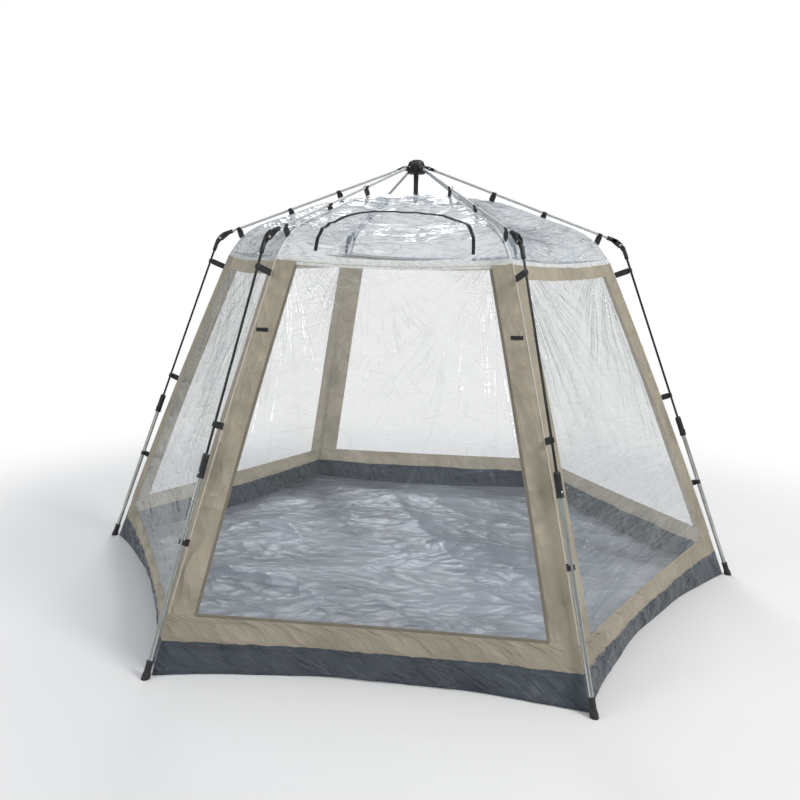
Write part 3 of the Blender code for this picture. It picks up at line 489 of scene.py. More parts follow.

# %% [markdown]
# ## Silver floor
#
# The floor is the silver grey coated side of a groundsheet. It was folded in a bag, so it shows facets at
# three sizes and long folds, with painted highlights along the folds and painted shade in the hollows and in
# dark creases. The mesh will carry the largest creases. The material adds the finer ones, which would take
# far too many faces.


# %% Silver floor
def silver_floor_material():
    """Silver grey crumpled coating, with painted highlights on its folds and painted shade in its hollows."""
    material, tree, shader = new_material("silver_floor", (0.36, 0.40, 0.46), 0.42, 0.12)
    soft = noise_at(coordinates(tree, "UV"), 1.3, 3.0, 0.5, 0.4)
    sloping = warped(coordinates(tree, "UV", (1, 1.8, 1), 0.3), 1.2, 0.45)
    crossing = warped(coordinates(tree, "UV", (1, 1.5, 1), -0.8), 2.4, 0.22)
    wide = facets(sloping, 1.7)
    fine = facets(crossing, 13.0)
    long_fold = folds_at(sloping, 1.7, 0.022) * ranged(soft, 0.40, 0.55, 0.2, 1.0)
    short_fold = folds_at(crossing, 4.6, 0.04) * ranged(soft, 0.45, 0.6)
    height = wide * 1.5 + facets(crossing, 4.6) * 0.45 + fine * 0.20
    bumped(shader, height + noise_at(crossing, 34.0, 3.0, 0.6) * 0.05, 1.0, 0.042)
    tone = mixed(ranged(soft, 0.32, 0.68), (0.21, 0.235, 0.285), (0.37, 0.40, 0.465))
    # Painted shade in the hollows of the wide facets.
    tone = mixed(ranged(wide, 0.0, 0.25, 0.35, 0.0), tone, (0.13, 0.145, 0.175))
    # Painted highlights along the long and short folds.
    tone = mixed(most(long_fold, short_fold * 0.6) * 0.18, tone, (0.66, 0.70, 0.76))
    # Painted shade in thin dark lines along the crossing folds, where the soft noise is low.
    shaded = folds_at(crossing, 2.3, 0.05) * ranged(soft, 0.52, 0.42)
    feed(shader, "Base Color", mixed(shaded * 0.55, tone, (0.075, 0.085, 0.105)))
    feed(shader, "Roughness", ranged(fine, 0.0, 0.4, 0.36, 0.47))
    return material


silver_floor = silver_floor_material()
print("floor nodes:", len(silver_floor.node_tree.nodes))

# %% [markdown]
# ## Plastics, metals, rubber and thread
#
# The frame is moulded plastic, painted rods and drawn aluminium tube. One material with another colour for
# each would look too clean, so each has a fine grain, faint scuffs and a roughness that wanders. The tubes
# have fine lines along them from drawing.


# %% Plastics, metals, rubber and thread
def hard_material(name, colour, roughness, metallic=0.0, grain=260.0, scuff=0.06):
    """Moulded plastic or metal with a fine grain, faint scuffs and a roughness that wanders."""
    material, tree, shader = new_material(name, colour, roughness, metallic)
    place = coordinates(tree, "Object")
    broad = noise_at(place, 14.0, 3.0, 0.6)
    bumped(shader, noise_at(place, grain, 2.0), 0.35, 0.0003)
    wear_and_highlight = tuple(min(1, c + scuff) for c in colour)
    feed(shader, "Base Color", mixed(ranged(broad, 0.5, 0.75), colour, wear_and_highlight))
    feed(shader, "Roughness", ranged(broad, 0.3, 0.7, roughness - 0.07, roughness + 0.1))
    return material


def tube_material():
    """Drawn aluminium tube with fine lines along its length and dull patches."""
    material, tree, shader = new_material("drawn_tube", (0.56, 0.59, 0.57), 0.3, 1.0)
    dull = noise_at(coordinates(tree, "Object"), 9.0, 4.0, 0.6)
    bumped(shader, noise_at(coordinates(tree, "Object", (260, 260, 3)), 1.0, 2.0), 0.25, 0.0003)
    feed(shader, "Base Color", mixed(ranged(dull, 0.4, 0.7), (0.60, 0.62, 0.60), (0.42, 0.45, 0.42)))
    feed(shader, "Roughness", ranged(dull, 0.35, 0.7, 0.22, 0.45))
    return material


black_plastic = hard_material("moulded_plastic", (0.016, 0.016, 0.018), 0.42, scuff=0.02)
cap_plastic = hard_material("cap_plastic", (0.045, 0.045, 0.05), 0.4, scuff=0.03)
black_rod = hard_material("black_rod", (0.012, 0.012, 0.014), 0.28, scuff=0.015)
grey_rib = hard_material("grey_rib", (0.50, 0.52, 0.53), 0.38, scuff=0.08)
rubber = hard_material("foot_rubber", (0.028, 0.028, 0.03), 0.72, grain=420.0, scuff=0.05)
pin_steel = hard_material("pin_steel", (0.60, 0.59, 0.55), 0.26, 1.0, scuff=0.1)
drawn_tube = tube_material()
thread = hard_material("thread", (0.52, 0.47, 0.37), 0.75, grain=900.0)
zip_black = hard_material("zip_black", (0.012, 0.012, 0.014), 0.35, scuff=0.02)
zip_taupe = hard_material("zip_taupe", (0.25, 0.225, 0.175), 0.45, scuff=0.04)
piping_cloth = hard_material("piping_cloth", (0.62, 0.60, 0.54), 0.7, grain=700.0)
print("materials:", len(bpy.data.materials))

# %% [markdown]
# ## Studio floor
#
# The studio floor is pale and matt, and shows the tent's shadow. A floor that only fades out would leave a
# grey edge, so far from the tent it turns into plain white light, for the camera alone.


# %% Studio floor
def studio_floor_material():
    """A pale matt floor that turns plain white away from the tent, as the camera sees it."""
    material, tree, shader = new_material("studio_floor", (0.80, 0.80, 0.80), 0.95)
    place = coordinates(tree, "Object")
    feed(shader, "Base Color", mixed(noise_at(place, 0.4, 2.0), (0.78, 0.78, 0.79), (0.82, 0.82, 0.82)))
    distance = node(tree, "VectorMath", (0, place), out="Value", operation="LENGTH")
    ends = ((0, distance), (1, 1.7), (2, 3.6))
    far = node(tree, "MapRange", *ends, interpolation_type="SMOOTHERSTEP", clamp=True)
    glow = node(tree, "Emission", ("Color", WHITE), ("Strength", 1.0))
    blended(tree, far * node(tree, "LightPath", out="Is Camera Ray"), shader, glow)
    return material


studio_floor.data.materials.append(studio_floor_material())
print("studio floor:", studio_floor.data.materials[0].name)

# %% [markdown]
# ## Sizes, as the frame has them
#
# The panels follow the same few sizes as the solids: six corners, a tub ring on the ground, an eave ring
# under the elbows, and ridges that rise under the ribs to a small flat top. The nodes' faces could be
# copied, but they are coarse. A formula for each side gives a point at any place, so sheets can be as fine
# as needed.

# %% Sizes
CORNERS = {"front_right": -60, "right": 0, "back_right": 60, "back_left": 120, "left": 180, "front_left": 240}
WALLS = {"front_right": -30, "back_right": 30, "back": 90, "back_left": 150, "front_left": 210}
DOOR = -90
SIDES = [DOOR, *WALLS.values()]
HUB_PIN = Vector((0.060, 0, 1.810))
ELBOW = Vector((0.916, 0, 1.500))
GROUND = Vector((1.500, 0, 0))
EAVE_RADIUS, EAVE = 0.865, 1.420
TUB_RADIUS = 1.475
BAND_TOP, TUB_TOP = 0.195, 0.112
STRIP_TOP, STRIP_BOTTOM = 0.078, 0.098
RIB_SLOPE = (ELBOW.z - HUB_PIN.z) / (ELBOW.x - HUB_PIN.x)
# Where straps pull the ridges up: distance inwards from the elbow, and depth below the rib.
RIDGE_HOLDS = ((0.116, 0.042), (0.346, 0.0235), (0.576, 0.037))
PEAK_BELOW_PIN = 0.148
TOP_PANEL = 0.340
EDGE_BOW = 0.012
SIDE_DRAW, HEM_DRAW = 0.012, 0.075
EAVE_DIP = 0.018
WALL_FOLD, BAND_FOLD = 0.006, 0.004
ROOF_SAG, ROOF_BELLY, ROOF_DRAW, ROOF_LIFT = 0.018, 0.036, 0.012, 0.002
COS30 = math.cos(math.pi / 6)

print("eave circle:", EAVE_RADIUS, "tub circle:", TUB_RADIUS)

# %% [markdown]
# ## Surface of a side
#
# Each side is a trapezium of film and cloth between two poles, drawn in a little where nothing pulls it out.
# Six separate models would have to be kept alike, so one formula in a side's own frame serves all six, and
# its points are turned into place.


# %% Surface of a side
def turn(azimuth):
    return Matrix.Rotation(math.radians(azimuth), 4, "Z")


def spaced(first, last, count):
    return [first + (last - first) * i / count for i in range(count + 1)]


def edge_radius(height):
    """How far out a corner's edge is at a height; it bows outwards a little half-way up."""
    down = (EAVE - height) / EAVE
    return EAVE_RADIUS + (TUB_RADIUS - EAVE_RADIUS) * down + EDGE_BOW * 4 * down * (1 - down)


def strip_width(height):
    return STRIP_TOP + (STRIP_BOTTOM - STRIP_TOP) * (EAVE - height) / EAVE


def film_reach(height, gap):
    """The share of a side's half width that is left between its corner strips, less a gap."""
    half = edge_radius(height) / 2
    return (half - strip_width(height) - gap) / half


def broad_fold(across, height):
    """Wide shallow folds slant down the film; the cloth below it ripples towards the ground."""
    if height >= BAND_TOP:
        share = (height - BAND_TOP) / (EAVE - BAND_TOP)
        return WALL_FOLD * math.sin(math.pi * 3 * (across / 2 + share)) * 4 * share * (1 - share)
    return BAND_FOLD * math.sin(math.pi * 3 * across) * (BAND_TOP - height) / BAND_TOP


def side_point(across, height):
    """A point of a side in its own frame, +X outward; across runs from -1 to 1 between the corner edges."""
    radius = edge_radius(height)
    slack = 1 - across * across
    share = max(0.0, (height - BAND_TOP) / (EAVE - BAND_TOP))
    below = max(0.0, (BAND_TOP - height) / BAND_TOP)
    out = radius * COS30 + (broad_fold(across, height) - SIDE_DRAW - HEM_DRAW * below**1.5) * slack
    return Vector((out, across * radius / 2, height - EAVE_DIP * slack * share))


print("a side's middle at half height:", [round(v, 3) for v in side_point(0, EAVE / 2)])

# %% [markdown]
# ## Surface of the roof
#
# The ribs' straps pull the roof up along six ridges, and between them it sags. A flat cone would miss both.
# A smooth curve through the straps' places gives the ridge, and the sag grows towards the middle of each
# side.


# %% Surface of the roof
def ridge_points():
    points = [(EAVE_RADIUS, EAVE)]
    for inward, below_rib in RIDGE_HOLDS:
        radius = ELBOW.x - inward
        points.append((radius, HUB_PIN.z + RIB_SLOPE * (radius - HUB_PIN.x) - below_rib))
    return [*points, (0.0, HUB_PIN.z - PEAK_BELOW_PIN)]


RIDGE = ridge_points()


def ridge_height(radius):
    """The height of a ridge, on a smooth curve through its points."""
    if radius >= RIDGE[0][0]:
        return RIDGE[0][1]
    slopes = [(b[1] - a[1]) / (b[0] - a[0]) for a, b in zip(RIDGE, RIDGE[1:])]
    i = next(k for k in range(len(slopes)) if RIDGE[k + 1][0] <= radius <= RIDGE[k][0])
    (r0, z0), (r1, z1) = RIDGE[i], RIDGE[i + 1]
    first = slopes[0] if i == 0 else (slopes[i - 1] + slopes[i]) / 2
    last = slopes[-1] if i == len(slopes) - 1 else (slopes[i] + slopes[i + 1]) / 2
    width = r1 - r0
    t = (radius - r0) / width
    ends = z0 * (2 * t**3 - 3 * t**2 + 1) + z1 * (3 * t**2 - 2 * t**3)
    return ends + first * width * (t**3 - 2 * t**2 + t) + last * width * (t**3 - t**2)


def roof_point(across, radius):
    """A point of the roof in a side's own frame; the film sags between the ridges."""
    slack = 1 - across * across
    outward = max(0.0, radius - TOP_PANEL) / (EAVE_RADIUS - TOP_PANEL)
    sag = (ROOF_SAG * outward + ROOF_BELLY * 4 * outward * (1 - outward)) * slack
    out = radius * COS30 - ROOF_DRAW * outward * slack
    return Vector((out, across * radius / 2, ridge_height(radius) - sag + ROOF_LIFT * outward))


print("peak:", round(ridge_height(0), 3))

# %% [markdown]
# ## From a mesh to a finished piece
#
# A finished piece rides on a body of the frame, may stand for a node, and takes its materials.
# The calls could follow each mesh, but in one helper none is forgotten, and it also lists the cloth that
# folds.

# %% Finishing a piece
FOLDING_BODIES = ("canopy", "door", "roof_window")
folding_pieces = []


def finish_piece(name, mesh, materials, body="canopy", replaces=(), smooth=True):
    """An object from a mesh, with its materials, riding on its body."""
    piece = bpy.data.objects.new(name, mesh)
    for material in materials:
        mesh.materials.append(material)
    if smooth:
        mesh.shade_smooth()
        mesh.set_sharp_from_angle(angle=math.radians(38))
    bpy.context.collection.objects.link(piece)
    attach(piece, body)
    if replaces:
        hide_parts(*replaces)
    if body in FOLDING_BODIES:
        folding_pieces.append(piece)
    return piece


def mesh_of(bm, name):
    mesh = bpy.data.meshes.new(name)
    bm.to_mesh(mesh)
    bm.free()
    return mesh


def solid_mesh(bm, name):
    bmesh.ops.recalc_face_normals(bm, faces=bm.faces)
    return mesh_of(bm, name)


def merged_mesh(name, meshes):
    bm = bmesh.new()
    for mesh in meshes:
        bm.from_mesh(mesh)
        bpy.data.meshes.remove(mesh)
    return mesh_of(bm, name)


print("bodies that fold with the cloth:", FOLDING_BODIES)

# %% [markdown]
# ## Meshes from rows of points
#
# Film, cloth, tubes and straps are all rows of points with faces between neighbouring rows. Bridging the
# rows in one helper keeps the rest short. Sheets also get a UV map in metres, measured along their own rows,
# which is what the real cloth was cut to.


# %% Meshes from rows of points
def bridge(bm, rows, closed=True):
    """Faces between neighbouring rows of vertices, as (row, column, face); a row of one vertex is a pole."""
    made = []
    for j, (a, b) in enumerate(zip(rows, rows[1:])):
        count = max(len(a), len(b))
        for i in range(count if closed else count - 1):
            k = (i + 1) % count
            corners = dict.fromkeys((a[i % len(a)], a[k % len(a)], b[k % len(b)], b[i % len(b)]))
            made.append((j, i, bm.faces.new(tuple(corners))))
    return made


def lengths_along(points):
    run = [0.0]
    for a, b in zip(points, points[1:]):
        run.append(run[-1] + (b - a).length)
    return run


def face_away(bm, inside):
    """Turns the faces so that they point away from a point."""
    bm.normal_update()
    facing = sum((f.calc_center_median() - inside).dot(f.normal) * f.calc_area() for f in bm.faces)
    if facing < 0:
        bmesh.ops.reverse_faces(bm, faces=bm.faces)


def grid_mesh(name, rows, closed=False, azimuth=0, inside=TENT_MIDDLE, pick=None):
    """A quad mesh through rows of points, with UVs in metres; pick gives a face's material from its row."""
    bm = bmesh.new()
    uv = bm.loops.layers.uv.new("UV")
    turned = turn(azimuth)
    verts = [[bm.verts.new(turned @ p) for p in row] for row in rows]
    down = lengths_along([row[len(row) // 2] for row in rows])
    across = []
    for row in rows:
        run = lengths_along(row + row[:1] if closed else row)
        across.append([value - run[-1] / 2 for value in run])
    for j, i, face in bridge(bm, verts, closed):
        corners = ((j, i), (j, i + 1), (j + 1, i + 1), (j + 1, i))
        for loop, (row, column) in zip(face.loops, corners):
            loop[uv].uv = (across[row][column], down[row])
        if pick:
            face.material_index = pick(j)
    face_away(bm, inside)
    return mesh_of(bm, name)


print("mesh helpers:", ["bridge", "lengths_along", "face_away", "grid_mesh"])

# %% [markdown]
# ## Cut size and relief
#
# A real panel is cut flat before it is sewn, so its size is measured along its rows and columns. Creases are
# added after that. A displacement modifier could raise them, but moving each point along the surface's own
# normal in the script lets the relief fade to nothing at a seam.


# %% Cut size and relief
def flat_size(rows):
    """The cut size of a sheet: its longest row, its longest column, and its area."""
    across = max(lengths_along(row)[-1] for row in rows)
    down = max(lengths_along(column)[-1] for column in zip(*rows))
    area = 0.0
    for a, b in zip(rows, rows[1:]):
        for i in range(len(a) - 1):
            area += ((a[i + 1] - a[i]).cross(b[i] - a[i])).length / 2
            area += ((b[i + 1] - b[i]).cross(b[i + 1] - a[i + 1])).length / 2
    return across, down, area


def ridged(x, y, z):
    """Noise folded into sharp ridges, from 0 to 1."""
    return (1 - abs(noise.noise(Vector((x, y, z))))) ** 5


def relief_rows(rows, relief):
    """Rows of points moved along the surface's outward normal by relief(i, j)."""
    moved = []
    for j, row in enumerate(rows):
        line = []
        for i, p in enumerate(row):
            along = row[min(i + 1, len(row) - 1)] - row[max(i - 1, 0)]
            down = rows[min(j + 1, len(rows) - 1)][i] - rows[max(j - 1, 0)][i]
            normal = along.cross(down)
            if normal.x < 0:
                normal = -normal
            line.append(p + normal.normalized() * relief(i, j))
        moved.append(line)
    return moved


print("a ridge of the noise:", round(ridged(0.1, 0.2, 0.3), 3))

# %% [markdown]
# ## Creases of the side panels
#
# The film is stretched between its seams, so its creases fan from the two upper corners and cross in fine
# crumples. Cloth simulation makes soft drapes and misses these sharp creases, so the relief is worked out
# from folded noise, and fades out at the seams, where neighbouring panels meet.

# %% Creases of the side panels
PANEL_LENGTH = 1.32
CREASE_HEIGHT = 0.0062
SEAM_FADE = 0.09


def film_relief(s, t, half, seed):
    """Creases of stretched film; s runs across from the middle and t down from the eave, both in metres."""
    left = math.atan2(t + 0.12, s + half + 0.05)
    right = math.atan2(t + 0.12, half + 0.05 - s)
    reach_left = math.hypot(s + half, t)
    reach_right = math.hypot(half - s, t)
    fan = ridged(left * 9, reach_left * 0.9, seed) * math.exp(-reach_left * 1.1)
    fan += ridged(right * 9, reach_right * 0.9, seed + 7) * math.exp(-reach_right * 0.8)
    crumple = ridged(s * 5 + t * 3, t * 7 - s * 4, seed + 3) * 0.35
    crumple += noise.noise(Vector((s * 2.2, t * 1.6, seed + 5))) * 0.8
    edge = min(half - abs(s), t, PANEL_LENGTH - t)
    fade = min(1.0, max(0.0, edge / SEAM_FADE))
    return (fan + crumple) * CREASE_HEIGHT * fade * fade * (3 - 2 * fade)


print("a crease near the corner:", round(film_relief(-0.3, 0.2, 0.4, 3), 4))

# %% [markdown]
# ## Side panels and door
#
# Five fixed panels and the door are the same clear film, so one helper makes all six, with another seed for
# each. The fixed panels have a khaki band under the eave, a second material on their upper rows. The door
# hangs from a narrow header strip that stays sewn to the roof, and rides on its own hinge.

# %% Side panels and door
PANEL_COLUMNS, PANEL_ROWS, HEADER_ROWS = 84, 84, 3
STRIP_GAP = 0.0005
SEAM_GAP = 0.0009
PANEL_SLOPE = 1.075
DOOR_TOP = 1.3975
HEADER_GAP = 0.0006
EAVE_BAND = 0.062
EAVE_BAND_ROWS = round(PANEL_ROWS * EAVE_BAND / PANEL_LENGTH)


def panel_rows(top, bottom, count):
    rows = []
    for height in spaced(top, bottom, count):
        edge = film_reach(height, STRIP_GAP)
        rows.append([side_point(across, height) for across in spaced(-edge, edge, PANEL_COLUMNS)])
    return rows


plain_wall = panel_rows(EAVE - SEAM_GAP, BAND_TOP + SEAM_GAP, PANEL_ROWS)
plain_door = panel_rows(DOOR_TOP, BAND_TOP + SEAM_GAP, PANEL_ROWS)
plain_header = panel_rows(EAVE - SEAM_GAP, DOOR_TOP + HEADER_GAP, HEADER_ROWS)


def khaki_under_eave(row):
    return 1 if row < EAVE_BAND_ROWS else 0


def panel(name, azimuth, seed, node_name, body, plain, film, pick=None):
    """A stretched panel of film, in its side's place; pick says which rows are khaki."""

    def relief(i, j):
        p = plain[j][i]
        return film_relief(p.y, (EAVE - p.z) * PANEL_SLOPE, plain[j][-1].y, seed)

    mesh = grid_mesh(name, relief_rows(plain, relief), azimuth=azimuth, pick=pick)
    piece = finish_piece(name, mesh, [film, khaki], body, [node_name])
    width, length, area = flat_size(plain)
    print(name, "cut size:", round(width, 3), round(length, 3))


header_mesh = grid_mesh("film_door_header", plain_header, azimuth=DOOR)
header = finish_piece("film_door_header", header_mesh, [door_film])
width, length, area = flat_size(plain_header)
for index, (side, azimuth) in enumerate(WALLS.items()):
    name, seed = f"film_wall_{side}", 11 + 5 * index
    panel(name, azimuth, seed, f"wall_{side}", "canopy", plain_wall, wall_film, khaki_under_eave)
panel("film_door", DOOR, 3, "door_panel", "door", plain_door, door_film)

# %% [markdown]
# ## Creases and window of the roof
#
# The roof's creases mostly run across the slope, and its front side has a half-round window with a straight
# hinge side. Both are formulas: noise for the creases, and a value below zero inside the window's outline,
# which tells for any point on which side of the cut it lies.

# %% Creases and window of the roof
ROOF_CREASE, ROOF_FADE = 0.0075, 0.07
WINDOW_HALF, WINDOW_BASE, WINDOW_DEPTH = 0.288, 0.7261, 0.2947


def roof_crease(aside, inward, half, seed):
    waves = ridged(aside * 2.2 + inward * 1.5, inward * 17 - aside * 2, seed) * 0.9
    slant = ridged(aside * 7 - inward * 5, inward * 6 + aside * 3, seed + 2) * 0.6
    soft = noise.noise(Vector((aside * 3, inward * 4, seed + 4))) * 0.8
    edge = min(half - abs(aside), inward)
    fade = min(1.0, max(0.0, edge / ROOF_FADE))
    near_top = min(1.0, abs(EAVE_RADIUS - TOP_PANEL - inward) / 0.05)
    return (waves + slant + soft) * ROOF_CREASE * fade * fade * near_top


def local_to_side(p):
    """The side that a point belongs to, and the point in that side's own frame."""
    azimuth = math.degrees(math.atan2(p.y, p.x))
    side = min(SIDES, key=lambda a: abs((azimuth - a + 180) % 360 - 180))
    return side, turn(-side) @ p


def window_outline(p):
    """Below zero inside the half-round window, above zero outside; p is in the front side's frame."""
    round_part = ((WINDOW_BASE - p.x) / WINDOW_DEPTH) ** 2 + (p.y / WINDOW_HALF) ** 2 - 1
    return max(round_part, (p.x - WINDOW_BASE) / WINDOW_DEPTH)


print("window:", round(2 * WINDOW_HALF, 3), "wide,", WINDOW_DEPTH, "deep")

# %% [markdown]
# ## Roof sheet
#
# The roof is one continuous sheet over all six sides. The window must fit its hole exactly, so it isn't a
# second sheet laid on top, nor cut by a Boolean, which would leave ragged faces. Its outline is cut into the
# roof's own edges, at places found by halving.

# %% The roof sheet with the window's outline cut into it
ROOF_COLUMNS = 40
ROOF_KNEE, PEAK_RING = 0.800, 0.012
ROOF_UV_STEP, ROOF_UV_SLOPE = 0.04, 1.1
HALVINGS = 20


def cut_window_outline(bm):
    """Splits the edges that cross the window's outline there, and joins the new points."""
    to_front = turn(-DOOR)
    crossing = []
    for edge in bm.edges:
        first, second = (window_outline(to_front @ v.co) for v in edge.verts)
        if first * second < 0 and all((to_front @ v.co).x > 0 for v in edge.verts):
            crossing.append(edge)
    made = []
    for edge in crossing:
        start, end = edge.verts
        start_inside = window_outline(to_front @ start.co) < 0
        low, high = 0.0, 1.0
        for _ in range(HALVINGS):
            middle = (low + high) / 2
            inside = window_outline(to_front @ start.co.lerp(end.co, middle)) < 0
            low, high = (middle, high) if inside == start_inside else (low, middle)
        made.append(bmesh.utils.edge_split(edge, start, low)[1])
    bmesh.ops.connect_verts(bm, verts=made)


def plain_roof():
    """Six sides from the eave to the peak, joined along the ridges, with the window's outline cut in."""
    bm = bmesh.new()
    radii = spaced(EAVE_RADIUS, ROOF_KNEE, 5) + spaced(ROOF_KNEE, TOP_PANEL, 26)[1:]
    radii += spaced(TOP_PANEL, PEAK_RING, 10)[1:]
    for side in SIDES:
        turned = turn(side)
        acrosses = spaced(-1, 1, ROOF_COLUMNS)
        rows = [[bm.verts.new(turned @ roof_point(across, r)) for across in acrosses] for r in radii]
        bridge(bm, rows + [[bm.verts.new((0, 0, ridge_height(0)))]], closed=False)
    bmesh.ops.remove_doubles(bm, verts=bm.verts, dist=1e-5)
    bmesh.ops.recalc_face_normals(bm, faces=bm.faces)
    if sum(f.normal.z for f in bm.faces) < 0:
        bmesh.ops.reverse_faces(bm, faces=bm.faces)
    cut_window_outline(bm)
    bm.normal_update()
    return bm


def creased_roof():
    bm = plain_roof()
    moves = []
    for vert in bm.verts:
        side, p = local_to_side(vert.co)
        radius = p.x / COS30
        moves.append(vert.normal * roof_crease(p.y, EAVE_RADIUS - radius, radius / 2, side * 0.31))
    for vert, move in zip(bm.verts, moves):
        vert.co += move
    uv = bm.loops.layers.uv.new("UV")
    for face in bm.faces:
        side, _ = local_to_side(face.calc_center_median())
        turned_back = turn(-side)
        for loop in face.loops:
            p = turned_back @ loop.vert.co
            loop[uv].uv = (p.y + side * ROOF_UV_STEP, p.x * ROOF_UV_SLOPE)
    return bm


roof_source = creased_roof()
roof_tree = BVHTree.FromBMesh(roof_source)
print("roof faces:", len(roof_source.faces))

# %% [markdown]
# ## Roof and window
#
# The faces outside the window's outline become the roof, and those inside it the flap, which rides on its
# own hinge. Both come from the same creased mesh, so their edges match point for point when the flap is
# shut.


def roof_sheet(name, source, inside_window, body, node_name):
    """The roof's faces inside or outside the window, as a piece."""
    bm = source.copy()
    to_front = turn(-DOOR)
    gone = []
    for face in bm.faces:
        p = to_front @ face.calc_center_median()
        inside = p.x > 0 and window_outline(p) < 0
        if inside != inside_window:
            gone.append(face)
    bmesh.ops.delete(bm, geom=gone, context="FACES")
    area = sum(face.calc_area() for face in bm.faces)
    piece = finish_piece(name, mesh_of(bm, name), [roof_film], body, [node_name])
    print(name, "area:", round(area, 3), "faces:", len(piece.data.polygons))


roof_sheet("film_roof", roof_source, False, "canopy", "roof")
roof_sheet("film_roof_window", roof_source, True, "roof_window", "roof_window")
roof_source.free()

# %% [markdown]
# ## Seams
#
# Where two sheets of film are welded, the doubled film looks white. The seams run round the eave, up the six
# ridges and round the small top. A white line in the material would do from afar. As narrow strips just
# above the film they also catch the light along their edges, as the real ones do.

# %% Welded seams of the roof
SEAM_LIFT, SEAM_CROWN = 0.0008, 0.0012
EAVE_OVER, EAVE_UNDER = 0.006, 0.009
RIDGE_SEAM_HALF, RIDGE_SEAM_CROWN = 0.006, 0.0011
TOP_SEAM_OUT, TOP_SEAM_IN = 0.007, 0.006


def lifted(p, amount=SEAM_LIFT):
    return p + Vector((p.x, p.y, 1.2)).normalized() * amount


def eave_seam():
    """A ring from just above the eave, round its edge, to just below it."""
    rings = [[], [], []]
    for side in SIDES:
        turned = turn(side)
        for across in spaced(-1, 1, 30)[:-1]:
            rings[0].append(lifted(turned @ roof_point(across, EAVE_RADIUS - EAVE_OVER)))
            rings[1].append(lifted(turned @ roof_point(across, EAVE_RADIUS), SEAM_CROWN))
            rings[2].append(turned @ (side_point(across, EAVE - EAVE_UNDER) + Vector((SEAM_LIFT, 0, 0))))
    return grid_mesh("eave_seam", rings, closed=True)


def ridge_seams():
    meshes = []
    for azimuth in CORNERS.values():
        left_side, right_side = turn(azimuth - 30), turn(azimuth + 30)
        rows = []
        for radius in spaced(EAVE_RADIUS, TOP_PANEL, 40):
            aside = 1 - RIDGE_SEAM_HALF / (radius / 2)
            middle = lifted(left_side @ roof_point(1, radius), RIDGE_SEAM_CROWN)
            left, right = left_side @ roof_point(aside, radius), right_side @ roof_point(-aside, radius)
            rows.append([lifted(left), middle, lifted(right)])
        meshes.append(grid_mesh("ridge", rows))
    return merged_mesh("ridge_seams", meshes)


def top_seam():
    rings = [[], []]
    for side in SIDES:
        turned = turn(side)
        for across in spaced(-1, 1, 12)[:-1]:
            for ring, radius in zip(rings, (TOP_PANEL + TOP_SEAM_OUT, TOP_PANEL - TOP_SEAM_IN)):
                ring.append(lifted(turned @ roof_point(across, radius), SEAM_CROWN))
    return grid_mesh("top_seam", rings, closed=True)


for seam in (eave_seam(), ridge_seams(), top_seam()):
    finish_piece(seam.name, seam, [seam_film])
print("seams:", [piece.name for piece in folding_pieces[-3:]])

# %% [markdown]
# ## Corner strips
#
# A khaki strip runs down each corner, folded over the edge where two panels meet. It carries the pull of the
# frame, so it is tight, with only low waves between its seams. Noise that is held to zero at the seams, the
# fold and both ends gives that, and six seeds keep the strips from being copies.

# %% Corner strips
STRIP_ROWS, STRIP_COLUMNS = 110, 20
STRIP_OVERLAP = 0.003
STRIP_LIFT = 0.0007


def strip_rows(seed):
    """Rows of a strip in its corner's own frame, from its edge on one side, over the corner, to the other."""
    rows = []
    left, right = turn(-30), turn(30)
    for height in spaced(EAVE - SEAM_GAP, BAND_TOP + SEAM_GAP, STRIP_ROWS):
        inner = film_reach(height, STRIP_OVERLAP)
        down = EAVE - height
        row = []
        for share in spaced(-1, 1, STRIP_COLUMNS):
            across = 1 - (1 - inner) * abs(share)
            p = left @ side_point(across, height) if share < 0 else right @ side_point(-across, height)
            wave = noise.noise(Vector((share * 2.2 + down * 1.4, down * 3.5, seed))) * 0.0035
            wave += (ridged(share * 3, down * 9 + share * 2, seed + 3) - 0.3) * 0.0022
            hold = min(1.0, abs(share) / 0.2, (1 - abs(share)) / 0.25)
            hold = min(hold, down / 0.05, (height - BAND_TOP) / 0.05)
            p.x += STRIP_LIFT + wave * max(0.0, hold)
            row.append(p)
        rows.append(row)
    return rows


for index, (corner, azimuth) in enumerate(CORNERS.items()):
    rows = strip_rows(40 + 3 * index)
    width, length, area = flat_size(rows)
    mesh = grid_mesh("strip", rows, azimuth=azimuth)
    replaced = [f"corner_strip_{corner}"]
    piece = finish_piece(f"cloth_strip_{corner}", mesh, [khaki], "canopy", replaced)
print("strip cut size:", round(width, 3), round(length, 3))

# %% [markdown]
# ## Bottom band and the tub's walls
#
# The khaki band and the dark tub wall go round all six sides and are sewn to each other. The film holds the
# band up, but nothing holds the tub wall, so it ripples and draws in between the feet. Both are one ring of
# points, so no seam opens at a corner, and both pucker alike along the line where they are sewn together.

# %% Bottom band and the tub's walls
RING_COLUMNS, RING_ROWS = 120, 22
BAND_LIFT, BAND_RIPPLE, TUB_RIPPLE = 0.0007, 0.0062, 0.0085
PUCKER_OUT, PUCKER_REACH = 0.0065, 0.016
BAND_OVER_FILM, TUB_OVER_BAND, TUB_END = 0.002, 0.001, 0.0012


def ring_point(side, across, height, relief):
    """A point of the ring of cloth, with its ripples, and puckers where the band is sewn to the tub."""
    p = side_point(across, height)
    hold = min(1.0, (1 - abs(across)) / 0.08)
    s = across * 1.2 + side * 0.11
    near_seam = math.exp(-(((height - TUB_TOP) / PUCKER_REACH) ** 2)) * hold
    p.x += relief(s, height) * hold + PUCKER_OUT * (ridged(s * 13, 0.4, 51) - 0.25) * near_seam
    rise = 0.005 * noise.noise(Vector((s * 3, 0.2, 53))) + 0.003 * noise.noise(Vector((s * 11, 0.6, 55)))
    p.z += rise * near_seam
    return p


